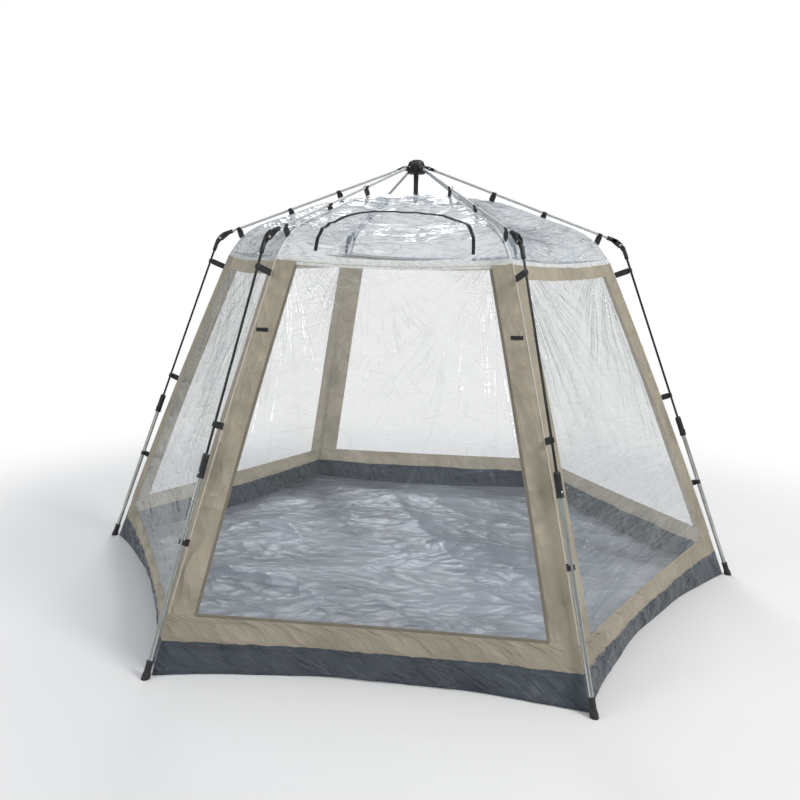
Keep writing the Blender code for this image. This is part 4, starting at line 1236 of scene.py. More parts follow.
def ring_rows(top, bottom, relief):
    rows = []
    for height in spaced(top, bottom, RING_ROWS):
        row = []
        for side in SIDES:
            turned = turn(side)
            acrosses = spaced(-1, 1, RING_COLUMNS)[:-1]
            row += [turned @ ring_point(side, across, height, relief) for across in acrosses]
        rows.append(row)
    return rows


def band_relief(s, height):
    fade = min(1.0, (BAND_TOP - height) / 0.02, (height - TUB_TOP) / 0.02)
    ripple = ridged(s * 9 + height * 16 * math.sin(s * 2.9), height * 9 + s * 2, 61) - 0.3
    ripple += noise.noise(Vector((s * 6, height * 8, 63))) * 0.7
    return BAND_LIFT + BAND_RIPPLE * ripple * max(0.0, fade)


def tub_relief(s, height):
    fade = min(1.0, (TUB_TOP - height) / 0.02, height / 0.012)
    ripple = ridged(s * 8 + height * 12 * math.cos(s * 2.3), height * 7 + s * 2, 71) - 0.3
    ripple += noise.noise(Vector((s * 5, height * 6, 73)))
    return TUB_RIPPLE * ripple * max(0.0, fade)


def ring_piece(name, rows, material, replaces):
    piece = finish_piece(name, grid_mesh(name, rows, closed=True), [material], "canopy", replaces)
    wrapped = [row + row[:1] for row in rows]
    length = lengths_along(wrapped[0])[-1]
    _, deep, area = flat_size(wrapped)
    deep = max(deep, area / length)
    print(name, "cut size:", round(length, 3), round(deep, 3))


cloth_band_rows = ring_rows(BAND_TOP + BAND_OVER_FILM, TUB_TOP, band_relief)
tub_wall_rows = ring_rows(TUB_TOP + TUB_OVER_BAND, TUB_END, tub_relief)
ring_piece("cloth_band", cloth_band_rows, khaki, ["bottom_band"])
ring_piece("tub_wall", tub_wall_rows, tub_dark, ())

# %% [markdown]
# ## Floor
#
# The silver floor lies on the ground and has never been pulled tight: long creases run where it was folded,
# with crumples between them. The long ones are listed as the photograph shows them, each a sharp ridge that
# fades at its ends. The sheet's rings follow the tub wall's lower edge, so that the two meet.

# %% Floor
# Each long fold has its start and end on the floor, its height and its width.
FOLDS = (
    ((-0.95, 0.30), (0.95, -0.02), 0.024, 0.055),
    ((-0.30, 1.05), (0.35, -0.35), 0.020, 0.050),
    ((-1.10, -0.25), (0.10, -0.60), 0.015, 0.045),
    ((0.10, -0.10), (1.25, -0.40), 0.018, 0.045),
    ((-0.65, 0.75), (-0.15, 0.05), 0.014, 0.040),
    ((0.35, 0.95), (0.90, 0.20), 0.014, 0.040),
    ((-0.55, -0.90), (0.45, -0.70), 0.012, 0.040),
)
FLOOR_RINGS, FLOOR_MIDDLE = 90, 0.02
FLOOR_LEVEL, FLOOR_EDGE = 0.0013, 0.05
OUTLINE_STEP = 3
FOLD_WANDER, FOLD_ENDS = 0.05, 0.15


def long_fold_height(p, start, end, height, width):
    """The height of a long fold between two points of the floor, which wanders a little from side to side."""
    a, b = Vector(start), Vector(end)
    along = b - a
    share = max(0.0, min(1.0, (p - a).dot(along) / along.length_squared))
    wander = noise.noise(Vector((share * 5, start[0] * 9, 3))) * FOLD_WANDER
    away = (p - (a + along * share)).length + wander
    return height * math.exp(-abs(away) / width) * min(1.0, share / FOLD_ENDS, (1 - share) / FOLD_ENDS)


def floor_height(x, y):
    p = Vector((x, y))
    bend = noise.noise(Vector((x * 1.1, y * 1.1, 5))) * 0.3
    height = ridged(x * 2.6 + bend, y * 3.4 - x, 81) * 0.0055
    height += ridged(x * 6 - y * 2, y * 5 + x * 2 + bend, 83) * 0.003
    height += (noise.noise(Vector((x * 3, y * 3, 85))) + 0.6) * 0.002
    for fold in FOLDS:
        height += long_fold_height(p, *fold)
    return height


def floor_sheet():
    bm = bmesh.new()
    rings = []
    for share in spaced(1.0, FLOOR_MIDDLE, FLOOR_RINGS):
        ring = []
        for p in tub_wall_rows[-1][::OUTLINE_STEP]:
            x, y = p.x * share, p.y * share
            height = floor_height(x, y) * min(1.0, (1 - share) / FLOOR_EDGE)
            ring.append(bm.verts.new((x, y, FLOOR_LEVEL + height)))
        rings.append(ring)
    bridge(bm, rings)
    bmesh.ops.triangulate(bm, faces=[bm.faces.new(rings[-1])])
    face_away(bm, Vector((0, 0, -1)))
    uv = bm.loops.layers.uv.new("UV")
    for face in bm.faces:
        for loop in face.loops:
            loop[uv].uv = loop.vert.co.xy
    area = sum(f.calc_area() for f in bm.faces)
    return mesh_of(bm, "tub_floor"), area


floor_sheet_mesh, floor_area = floor_sheet()
tub_floor = finish_piece("tub_floor", floor_sheet_mesh, [silver_floor], "canopy", ["floor_tub"])
print("floor area:", round(floor_area, 3))

# %% [markdown]
# ## Turned shapes
#
# Tubes, sleeves, pins and feet are round about an axis. Cylinders with Bevel modifiers could be stacked, but
# one profile of (distance along, radius) pairs draws every rim, groove and dome of a piece at once. Each
# piece is made once, for the corner on +X, and copied round.


# %% Turned shapes
def add_turned(bm, start, direction, profile, sides=24, looped=False, material=0):
    """A round shape about an axis; looped joins the profile's last point to its first."""
    turned = Vector((0, 0, 1)).rotation_difference(direction).to_matrix()
    angles = [2 * math.pi * (i + 0.5) / sides for i in range(sides)]
    rings = []
    for along, radius in profile:
        centre = start + direction * along
        if radius == 0:
            rings.append([bm.verts.new(centre)])
            continue
        round_points = (Vector((radius * math.cos(a), radius * math.sin(a), 0)) for a in angles)
        rings.append([bm.verts.new(centre + turned @ p) for p in round_points])
    if looped:
        rings.append(rings[0])
    for _, _, face in bridge(bm, rings):
        face.material_index = material


def dome(start, height, radius, steps):
    """The points of a quarter ellipse in a profile, from just above its rim to just before its top."""
    angles = [math.pi / 2 * i / steps for i in range(1, steps)]
    return [(start + height * math.sin(a), radius * math.cos(a)) for a in angles]


def for_corner(name, mesh, azimuth, materials, body, replaces=()):
    """A copy of a mesh from a corner's own frame, turned to its corner."""
    copy = mesh.copy()
    copy.transform(turn(azimuth))
    finish_piece(name, copy, materials, body, replaces)


print("steps of a dome:", len(dome(0, 1, 1, 12)))

# %% [markdown]
# ## Flat mouldings
#
# Ears, cheeks and eyes are flat links with round ends. Their outline is the hull round circles and bars,
# which is how such links are drawn on paper. Between a lower and an upper level it becomes a slab, and rims
# that shrink in three steps look moulded rather than cut.

# %% Flat mouldings
SLAB_ROUNDING = ((0.0, 1.0), (0.3, 0.3), (1.0, 0.0))
HULL_POINTS = 40


def hull_outline(circles, bars=()):
    """The convex outline, in the XZ plane, round circles (centre, radius) and loose points."""
    points = list(bars)
    for centre, radius in circles:
        for i in range(HULL_POINTS):
            angle = 2 * math.pi * i / HULL_POINTS
            points.append((centre.x + radius * math.cos(angle), centre.z + radius * math.sin(angle)))
    points = sorted(set(points))

    def half(sequence):
        chain = []
        for p in sequence:
            while len(chain) > 1:
                (ax, az), (bx, bz) = chain[-2], chain[-1]
                if (bx - ax) * (p[1] - az) - (bz - az) * (p[0] - ax) > 1e-11:
                    break
                chain.pop()
            chain.append(p)
        return chain[:-1]

    return half(points) + half(points[::-1])


def square_to(direction):
    """The direction a quarter turn from another in the XZ plane."""
    return Vector((-direction.z, 0, direction.x))


def bar_corners(start, direction, first, last, half_height):
    """The four corners of a bar that runs from first to last along a direction, in the XZ plane."""
    found = []
    for along in (first, last):
        for side in (-half_height, half_height):
            p = start + direction * along + square_to(direction) * side
            found.append((p.x, p.z))
    return found


def add_slab(bm, outline, low_y, high_y, round_by=0.0012, material=0):
    """A flat shape with an outline in the XZ plane and rounded rims."""
    centre_x, centre_z = (sum(p[axis] for p in outline) / len(outline) for axis in (0, 1))
    reach = max(math.hypot(x - centre_x, z - centre_z) for x, z in outline)
    levels = [(low_y + share * round_by, inset * round_by) for share, inset in SLAB_ROUNDING]
    levels += [(high_y - share * round_by, inset * round_by) for share, inset in SLAB_ROUNDING[::-1]]
    rings = []
    for y, inset in levels:
        shrink = 1 - inset / reach
        offsets = [((x - centre_x) * shrink, (z - centre_z) * shrink) for x, z in outline]
        rings.append([bm.verts.new((centre_x + x, y, centre_z + z)) for x, z in offsets])
    made = [bm.faces.new(rings[0]), bm.faces.new(rings[-1][::-1])]
    made += [face for _, _, face in bridge(bm, rings)]
    for face in made:
        face.material_index = material


print("rim steps:", len(SLAB_ROUNDING), "hull points on a circle:", HULL_POINTS)

# %% [markdown]
# ## Hub
#
# The hub is a moulded disc with a short stem under it. Six pairs of ears hold the ribs' hinge pins, and a
# low domed cap closes the top. The pins are drawn with their domed heads, because their glint is what shows
# that this is a joint. Sizes and places are those of the solids, so every joint turns where the frame says.

# %% Hub and cap
RIB_ALONG = (ELBOW - HUB_PIN).normalized()
LEG_ALONG = (GROUND - ELBOW).normalized()
LEG_OUT = square_to(LEG_ALONG)
RIB_LENGTH = (ELBOW - HUB_PIN).length
LEG_LENGTH = (GROUND - ELBOW).length
FORWARD = Vector((1, 0, 0))
SIDEWAYS = Vector((0, 1, 0))
UP = Vector((0, 0, 1))
PIN_RADIUS, PIN_HEAD = 0.003, 0.0016
HUB_BELOW, HUB_ABOVE, HUB_RADIUS = 0.024, 0.016, 0.040
EAR_INNER, EAR_OUTER = 0.0043, 0.0083
CAP_START, CAP_RADIUS = 0.0163, 0.0352


def add_pin(bm, centre, half_length, head_radius):
    """A hinge pin across a joint, with a low domed head at each end, in the piece's second material."""
    rim, crown = half_length + PIN_HEAD * 0.5, half_length + PIN_HEAD
    side = [(half_length, PIN_RADIUS), (half_length, head_radius), (rim, head_radius)]
    side += [(crown, head_radius * 0.7), (crown, 0)]
    profile = [(-along, radius) for along, radius in side[::-1]] + side
    add_turned(bm, centre, SIDEWAYS, profile, 16, material=1)


def hub_mesh():
    low, high = HUB_PIN.z - HUB_BELOW, HUB_PIN.z + HUB_ABOVE
    bm = bmesh.new()
    profile = [(low - 0.030, 0), (low - 0.030, 0.0095), (low - 0.0285, 0.011), (low - 0.003, 0.011)]
    profile += [(low, 0.0125), (low, 0.034), (low + 0.0015, 0.0385), (low + 0.005, HUB_RADIUS)]
    profile += [(high - 0.012, HUB_RADIUS), (high - 0.011, 0.0388), (high - 0.009, 0.0388)]
    profile += [(high - 0.008, HUB_RADIUS), (high - 0.004, HUB_RADIUS), (high - 0.0012, 0.0388)]
    profile += [(high, 0.036), (high, 0)]
    add_turned(bm, Vector(), UP, profile, 48)
    ears = bmesh.new()
    axle = Vector((0, 0, HUB_PIN.z))
    outline = hull_outline([(HUB_PIN, 0.0085)], bar_corners(axle, FORWARD, 0.027, 0.036, 0.011))
    for low_y, high_y in ((-EAR_OUTER, -EAR_INNER), (EAR_INNER, EAR_OUTER)):
        add_slab(ears, outline, low_y, high_y, 0.0009)
    add_pin(ears, HUB_PIN, EAR_OUTER, 0.0046)
    ear_mesh = solid_mesh(ears, "ears")
    for azimuth in CORNERS.values():
        turned_ears = ear_mesh.copy()
        turned_ears.transform(turn(azimuth))
        bm.from_mesh(turned_ears)
    return solid_mesh(bm, "hub")


def cap_mesh():
    base = HUB_PIN.z + CAP_START
    bm = bmesh.new()
    profile = [(base, 0), (base, 0.0345), (base + 0.0008, 0.0358), (base + 0.003, 0.036)]
    profile += [(base + 0.0036, CAP_RADIUS), (base + 0.0044, CAP_RADIUS)]
    profile += [*dome(base + 0.004, 0.020, CAP_RADIUS, 12), (base + 0.024, 0)]
    add_turned(bm, Vector(), UP, profile, 48)
    return solid_mesh(bm, "cap")


finish_piece("moulded_hub", hub_mesh(), [black_plastic, pin_steel], "hub", ["hub"])
finish_piece("moulded_hub_cap", cap_mesh(), [cap_plastic], "hub", ["hub_cap"])
print("hub at", [round(v, 3) for v in HUB_PIN])

# %% [markdown]
# ## Ribs and elbows
#
# Each rib is a light tube with a flattened eye at the hub. At its outer end it sits in the socket of a
# moulded elbow, whose two cheeks hold the leg's knuckle on a pin. The grip rings on the socket are small
# steps in the profile, because from close by a bump in the material alone would leave the outline smooth.


# %% Ribs and elbows
RIB_RADIUS, RIB_EYE = 0.0055, 0.008
RIB_END = RIB_LENGTH - 0.026
CHEEK_INNER, CHEEK_OUTER, CHEEK_RADIUS = 0.0048, 0.0088, 0.012
ELBOW_INSET = 0.011
SOCKET_RADIUS, SOCKET_GROOVE = 0.0095, 0.0089


def elbow_pin():
    """The leg's hinge, a little inside the bend."""
    inward = (LEG_ALONG - RIB_ALONG).normalized()
    return ELBOW + inward * (ELBOW_INSET / math.sin(inward.angle(LEG_ALONG)))


ELBOW_PIN = elbow_pin()


def rib_piece():
    """A light tube with a flattened eye fitting at the hub and a plain cut end inside the elbow."""
    bm = bmesh.new()
    eye = hull_outline([(HUB_PIN, RIB_EYE)], bar_corners(HUB_PIN, RIB_ALONG, 0.008, 0.034, 0.0052))
    add_slab(bm, eye, -0.004, 0.004, 0.0009, 1)
    profile = [(0.022, 0), (0.022, 0.0046), (0.0228, RIB_RADIUS), (0.046, RIB_RADIUS)]
    profile += [(0.0464, 0.0052), (0.0476, 0.0052), (0.048, RIB_RADIUS), (RIB_END - 0.0006, RIB_RADIUS)]
    profile += [(RIB_END, 0.0049), (RIB_END, 0)]
    add_turned(bm, HUB_PIN, RIB_ALONG, profile, 24)
    return solid_mesh(bm, "rib")


def elbow_piece():
    """A moulded joint: a socket gripping the rib, a solid bridge, and two cheeks round the leg's knuckle."""
    bm = bmesh.new()
    along = -RIB_ALONG
    joining = bar_corners(ELBOW, along, 0.026, 0.048, 0.0085)
    add_slab(bm, hull_outline([], joining), -CHEEK_OUTER, CHEEK_OUTER, 0.0016)
    cheek = hull_outline([(ELBOW_PIN, CHEEK_RADIUS)], joining)
    add_slab(bm, cheek, CHEEK_INNER, CHEEK_OUTER, 0.0013)
    add_slab(bm, cheek, -CHEEK_OUTER, -CHEEK_INNER, 0.0013)
    profile = [(0.040, 0), (0.040, 0.0088), (0.050, SOCKET_RADIUS)]
    for first in (0.0580, 0.0635):
        profile += [(first, SOCKET_RADIUS), (first + 0.0005, SOCKET_GROOVE)]
        profile += [(first + 0.0020, SOCKET_GROOVE), (first + 0.0025, SOCKET_RADIUS)]
    profile += [(0.0678, 0.0093), (0.069, 0.0084), (0.069, 0.0059), (0.064, 0.0057), (0.064, 0)]
    add_turned(bm, ELBOW, along, profile, 28)
    add_pin(bm, ELBOW_PIN, CHEEK_OUTER, 0.005)
    return solid_mesh(bm, "elbow")


rib_shape, elbow_shape = rib_piece(), elbow_piece()
for corner, azimuth in CORNERS.items():
    body = f"rib_{corner}"
    for_corner(f"tube_rib_{corner}", rib_shape, azimuth, [grey_rib, black_plastic], body, [body])
    name, replaced = f"moulded_elbow_{corner}", [f"elbow_{corner}"]
    for_corner(name, elbow_shape, azimuth, [black_plastic, pin_steel], body, replaced)
print("rib length:", round(RIB_LENGTH, 3), "elbow pin:", [round(v, 3) for v in ELBOW_PIN])

# %% [markdown]
# ## Leg rods and tubes
#
# Each leg is a black rod that slides into a silver tube. A solid cylinder would do for both where the leg is
# whole, but the tube's mouth is seen when the leg slides, so its profile has a bore and runs back to its
# start.

# %% Leg rods and tubes
ROD_RADIUS, TUBE_RADIUS, TUBE_BORE = 0.00475, 0.0085, 0.0073
SLEEVE_START = 0.821
SLEEVE_LENGTH = 0.088
TUBE_START = SLEEVE_START + 0.0133
TUBE_END = LEG_LENGTH - 0.0223


def rod_piece():
    """A black rod with a moulded knuckle that turns between the elbow's cheeks."""
    bm = bmesh.new()
    root = bar_corners(ELBOW, LEG_ALONG, 0.018, 0.040, 0.007)
    add_slab(bm, hull_outline([(ELBOW_PIN, 0.008)], root), -0.0044, 0.0044, 0.001, 1)
    profile = [(0.031, 0), (0.031, 0.0078), (0.032, 0.0085), (0.062, 0.0085), (0.0625, 0.008)]
    profile += [(0.064, 0.008), (0.0645, 0.0085), (0.070, 0.0085), (0.0725, 0.0078), (0.073, 0.0068)]
    profile += [(0.073, 0.004), (0.06, 0)]
    add_turned(bm, ELBOW, LEG_ALONG, profile, 28, material=1)
    end = TUBE_START + 0.070
    rod = [(0.040, 0), (0.040, ROD_RADIUS), (end, ROD_RADIUS), (end, 0)]
    add_turned(bm, ELBOW, LEG_ALONG, rod, 20)
    return solid_mesh(bm, "rod")


def tube_piece():
    bm = bmesh.new()
    profile = [(TUBE_START, TUBE_BORE), (TUBE_START, 0.0081), (TUBE_START + 0.0005, TUBE_RADIUS)]
    profile += [(TUBE_END - 0.0005, TUBE_RADIUS), (TUBE_END, 0.0081), (TUBE_END, TUBE_BORE)]
    add_turned(bm, ELBOW, LEG_ALONG, profile, 28, looped=True)
    return solid_mesh(bm, "tube")


print("tube length:", round(TUBE_END - TUBE_START, 3))

# %% [markdown]
# ## Lock sleeves, buttons and feet
#
# A spring button in the lock sleeve holds the rod, and grip rings help to pull it down. The tube ends in a
# rubber foot, which is cut off level with the ground, so that it stands flat. Rings could be a texture, but
# they show in the outline, so a loop writes them into the profile.

# %% Lock sleeves, buttons and feet
BUTTON_PLACE = ELBOW + LEG_ALONG * (SLEEVE_START + SLEEVE_LENGTH - 0.018)
BUTTON_TOP, BUTTON_RADIUS, BUTTON_DOME = 0.0155, 0.004, 0.0016
SLEEVE_RINGS, SLEEVE_RING_STEP = 6, 0.0048
FOOT_RINGS, FOOT_RING_STEP, FOOT_DEPTH = 4, 0.0065, 0.062
FOOT_CUT = 0.0002


def sleeve_piece():
    """The lock sleeve: grip rings at the top, a plain waist, and a flared skirt with the button's hole."""
    bm = bmesh.new()
    profile = [(0, 0.0052), (0, 0.0092), (0.0012, 0.0108), (0.004, 0.0118)]
    for ring in range(SLEEVE_RINGS):
        first = 0.008 + ring * SLEEVE_RING_STEP
        profile += [(first, 0.0125), (first + 0.0022, 0.0125)]
        profile += [(first + 0.0028, 0.0118), (first + 0.0042, 0.0118)]
    profile += [(0.040, 0.0122), (0.062, 0.0123), (0.076, 0.0125), (0.0845, 0.0136), (0.0866, 0.0142)]
    profile += [(SLEEVE_LENGTH, 0.0138), (SLEEVE_LENGTH, 0.0092), (0.0868, 0.0088), (0.013, 0.0088)]
    profile.append((0.013, 0.0052))
    add_turned(bm, ELBOW + LEG_ALONG * SLEEVE_START, LEG_ALONG, profile, 32, looped=True)
    rim = [(0.0112, 0.0043), (0.0112, 0.0062), (0.0131, 0.0062), (0.0136, 0.0056), (0.0136, 0.0043)]
    add_turned(bm, BUTTON_PLACE, LEG_OUT, rim, 20, looped=True)
    return solid_mesh(bm, "sleeve")


def button_piece():
    bm = bmesh.new()
    shoulder = BUTTON_TOP - BUTTON_DOME
    profile = [(BUTTON_TOP - 0.0039, 0), (BUTTON_TOP - 0.0039, BUTTON_RADIUS), (shoulder, BUTTON_RADIUS)]
    profile += [*dome(shoulder, BUTTON_DOME, BUTTON_RADIUS, 6), (BUTTON_TOP, 0)]
    add_turned(bm, BUTTON_PLACE, LEG_OUT, profile, 20)
    return solid_mesh(bm, "button")


def foot_piece():
    """A rubber foot with a ribbed neck, cut flat where it stands on the ground."""
    bm = bmesh.new()
    end, mouth = LEG_LENGTH, LEG_LENGTH - FOOT_DEPTH
    profile = [(end - 0.022, 0), (end - 0.022, 0.0088), (mouth, 0.0088), (mouth, 0.0108)]
    profile.append((mouth + 0.0012, 0.0116))
    for ring in range(FOOT_RINGS):
        first = mouth + 0.006 + ring * FOOT_RING_STEP
        profile += [(first, 0.0118), (first + 0.003, 0.0118)]
        profile += [(first + 0.0036, 0.0111), (first + 0.0059, 0.0111)]
    profile += [(end - 0.024, 0.0118), (end - 0.018, 0.0134), (end - 0.011, 0.0145)]
    profile += [(end + 0.0145, 0.0145), (end + 0.0145, 0)]
    add_turned(bm, ELBOW, LEG_ALONG, profile, 32)
    everything = bm.verts[:] + bm.edges[:] + bm.faces[:]
    cut = bmesh.ops.bisect_plane(
        bm, geom=everything, plane_co=(0, 0, FOOT_CUT), plane_no=(0, 0, -1), clear_outer=True
    )
    rim = [item for item in cut["geom_cut"] if isinstance(item, bmesh.types.BMEdge)]
    bmesh.ops.holes_fill(bm, edges=rim, sides=0)
    return solid_mesh(bm, "foot")


leg_parts = (
    ("rod", rod_piece(), [black_rod, black_plastic], "leg_{}", "leg_rod_{}", "black_rod"),
    ("sleeve", sleeve_piece(), [black_plastic], "lower_leg_{}", "lock_sleeve_{}", "black_plastic"),
    ("button", button_piece(), [pin_steel], "button_{}", "lock_button_{}", "steel_button"),
    ("tube", tube_piece(), [drawn_tube], "lower_leg_{}", "lower_tube_{}", "silver_tube"),
    ("rubber_foot", foot_piece(), [rubber], "lower_leg_{}", "foot_{}", "rubber"),
)
for corner, azimuth in CORNERS.items():
    for label, mesh, materials, body, replaced, slot in leg_parts:
        name = f"{label}_{corner}"
        for_corner(name, mesh, azimuth, materials, body.format(corner), [replaced.format(corner)])
print("leg length:", round(LEG_LENGTH, 3))

# %% [markdown]
# ## Straps
#
# Short webbing straps are sewn to the ridges and corner strips. Their lengths could be read off the solids,
# but they are searched for, by halving, as the distance from the pole to the cloth, so that none ends short
# or pokes through.

# %% Straps
LEG_STRAPS = (0.123, 0.714, 1.138)
RIB_STRAPS = (0.102, 0.363, 0.602)
STRAP_HALF = 0.0125
STRAP_STEPS = 10
LONGEST_STRAP, STRAP_HALVINGS = 0.2, 40
STRAP_SECTION = ((-1, -1), (-1, 1), (1, 1), (1, -1))


def beside_strip(p):
    return p.x > edge_radius(p.z)


def above_roof(p):
    return p.z > ridge_height(p.x) + 0.001


def sewn_point(hold, direction, outside):
    """Where a line from the pole meets the cloth; outside tells if a point is still in the open."""
    low, high = 0.0, LONGEST_STRAP
    for _ in range(STRAP_HALVINGS):
        middle = (low + high) / 2
        low, high = (middle, high) if outside(hold + direction * middle) else (low, middle)
    return hold + direction * high


def add_strap(bm, hold, sewn, pole_radius):
    """Webbing from the cloth to the clip: two layers that part a little round a fold, in the XZ plane."""
    out = (hold - sewn).normalized()
    reach = (hold - sewn).length - pole_radius - 0.0022
    uv = bm.loops.layers.uv.verify()
    rows = []
    for share in spaced(0, 1, STRAP_STEPS):
        gap = 0.00055 + 0.0007 * math.sin(math.pi * share)
        centre = sewn + out * (-0.001 + (reach + 0.001) * share) + SIDEWAYS * (0.0012 * math.sin(share * 5))
        corners = [square_to(out) * (x * STRAP_HALF) + SIDEWAYS * (y * gap * 2) for x, y in STRAP_SECTION]
        rows.append([bm.verts.new(centre + corner) for corner in corners])
    for j, i, face in bridge(bm, rows):
        left, right = i * STRAP_HALF, (i + 2) * STRAP_HALF
        near, far = j * reach / STRAP_STEPS, (j + 1) * reach / STRAP_STEPS
        for loop, place in zip(face.loops, ((left, near), (right, near), (right, far), (left, far))):
            loop[uv].uv = place
    bm.faces.new(rows[0])
    bm.faces.new(rows[-1][::-1])


print("straps on each corner:", len(LEG_STRAPS) + len(RIB_STRAPS))

# %% [markdown]
# ## Clips
#
# Each strap ends in a springy clip, open on the far side, that snaps over its pole. A torus with a gap would
# have no lips, so the C is drawn as one outline, out and back, with thicker ends. Straps and clips are made
# for one corner, as two meshes, and copied round.

# %% Clips
CLIP_HALF, CLIP_SOFTEN, CLIP_WALL = 0.009, 0.0006, 0.0026
CLIP_OPENING, CLIP_STEPS = 48, 26
CLIP_FOOT = ((-0.009, -0.0022), (0.009, -0.0022), (0.009, 0.0022), (-0.009, 0.0022))


def add_clip(bm, hold, sewn, along, pole_radius):
    """A C-shaped clip round a pole with rolled lips, opening away from the strap, on a small tapered foot."""
    out = (hold - sewn).normalized()
    aside = along.cross(out)
    inner = pole_radius + 0.0006
    turns = [CLIP_OPENING + (360 - 2 * CLIP_OPENING) * i / CLIP_STEPS for i in range(CLIP_STEPS + 1)]
    steps = [math.radians(degrees) for degrees in turns]
    rims = ((-CLIP_HALF, CLIP_SOFTEN), (-0.0083, 0.0), (0.0083, 0.0), (CLIP_HALF, CLIP_SOFTEN))
    rings = []
    for shift, slim in rims:
        outer = [inner + CLIP_WALL - slim + (0.0008 if a in (steps[0], steps[-1]) else 0.0) for a in steps]
        round_trip = [*zip(steps, outer), *((a, inner + slim * 0.5) for a in reversed(steps))]
        middle = hold + along * shift
        ring = [middle + out * (r * math.cos(a)) + aside * (r * math.sin(a)) for a, r in round_trip]
        rings.append([bm.verts.new(p) for p in ring])
    bridge(bm, rings)
    for ring, flip in ((rings[0], False), (rings[-1], True)):
        for i in range(CLIP_STEPS):
            quad = [ring[i], ring[i + 1], ring[-2 - i], ring[-1 - i]]
            bm.faces.new(quad[::-1] if flip else quad)
    base = hold - out * (pole_radius + 0.0030)
    square = square_to(out)
    low = [bm.verts.new(base - out * 0.003 + square * (x * 1.3) + SIDEWAYS * y) for x, y in CLIP_FOOT]
    high = [bm.verts.new(base + out * 0.0012 + square * x + SIDEWAYS * y) for x, y in CLIP_FOOT]
    bm.faces.new(low)
    bm.faces.new(high[::-1])
    bridge(bm, [low, high])


strap_bm, clip_bm = bmesh.new(), bmesh.new()


def add_strap_and_clip(hold, along, inward, outside, pole_radius):
    sewn = sewn_point(hold, inward, outside)
    add_strap(strap_bm, hold, sewn, pole_radius)
    add_clip(clip_bm, hold, sewn, along, pole_radius)


for distance in LEG_STRAPS:
    pole = TUBE_RADIUS if distance > SLEEVE_START + SLEEVE_LENGTH else ROD_RADIUS
    on_leg = ELBOW + LEG_ALONG * distance
    add_strap_and_clip(on_leg, LEG_ALONG, -LEG_OUT, beside_strip, pole)
for distance in RIB_STRAPS:
    on_rib = ELBOW - RIB_ALONG * distance
    add_strap_and_clip(on_rib, RIB_ALONG, -square_to(RIB_ALONG), above_roof, RIB_RADIUS)
strap_shape, clip_shape = solid_mesh(strap_bm, "straps"), solid_mesh(clip_bm, "clips")
for corner, azimuth in CORNERS.items():
    for_corner(f"strap_webbing_{corner}", strap_shape, azimuth, [webbing], "canopy")
    for_corner(f"strap_clips_{corner}", clip_shape, azimuth, [black_plastic], "canopy")
print("straps and clips:", (len(LEG_STRAPS) + len(RIB_STRAPS)) * len(CORNERS))

# %% [markdown]
# ## Hanger and tabs
#
# A strap holds the roof's peak up to the hub's stem, black tabs on the front strips tie the door back, and a
# small pale tab hangs at the front of the eave. All are short flat pieces, so a block with softened edges is
# enough, and a curve or a cloth would show nothing more at this size.


# %% Hanger, tie-back tabs and pull tab
HANGER_SIZE = (0.020, 0.002)
STEM_BELOW_PIN = 0.0543
TAB_HEIGHT, TAB_FROM_EDGE, TAB_OUT, TAB_SIZE = 1.16, 0.032, 0.0028, (0.044, 0.003, 0.014)
PULL_ACROSS, PULL_BELOW, PULL_OUT, PULL_SIZE = 0.06, 0.012, 0.003, (0.010, 0.0016, 0.018)


def box_mesh(name, centre, axes, sizes, soften=0.0004):
    """A block with softened edges; axes are its own directions, sizes its full lengths."""
    bm = bmesh.new()
    bmesh.ops.create_cube(bm, size=1.0)
    for vert in bm.verts:
        vert.co = centre + sum((axis * (vert.co[i] * sizes[i]) for i, axis in enumerate(axes)), Vector())
    bmesh.ops.bevel(bm, geom=bm.edges[:], offset=soften, segments=2, affect="EDGES")
    uv = bm.loops.layers.uv.verify()
    for face in bm.faces:
        for loop in face.loops:
            offset = loop.vert.co - centre
            loop[uv].uv = (offset.dot(axes[0]), offset.dot(axes[2]))
    return solid_mesh(bm, name)


def front_tab(name, across, height, out, size, material):
    """A tab lying on the front side, standing out a little from the cloth."""
    place = side_point(across, height)
    place.x += out
    tab = box_mesh(name, place, (SIDEWAYS, FORWARD, UP), size)
    tab.transform(turn(DOOR))
    finish_piece(name, tab, [material])


peak, stem_end = ridge_height(0), HUB_PIN.z - STEM_BELOW_PIN
hanger_middle = Vector((0, 0, (peak + stem_end) / 2))
hanger = box_mesh("hanger_strap", hanger_middle, (FORWARD, SIDEWAYS, UP), (*HANGER_SIZE, stem_end - peak))
finish_piece("hanger_strap", hanger, [webbing])
for corner, side_sign in (("front_left", -1), ("front_right", 1)):
    across = side_sign * (1 - TAB_FROM_EDGE / (edge_radius(TAB_HEIGHT) / 2))
    front_tab(f"door_tab_{corner}", across, TAB_HEIGHT, TAB_OUT, TAB_SIZE, webbing)
front_tab("pull_tab", PULL_ACROSS, EAVE - PULL_BELOW, PULL_OUT, PULL_SIZE, seam_film)
print("hanger length:", round(stem_end - peak, 3))

# %% [markdown]
# ## A tree for stitches and teeth
#
# Stitches and zip teeth repeat along lines, thousands of times. Placing each by hand in Python works but
# says little. One tree of Geometry Nodes resamples a line to an even spacing and puts a small block on each
# point, turned to the line and to the surface.


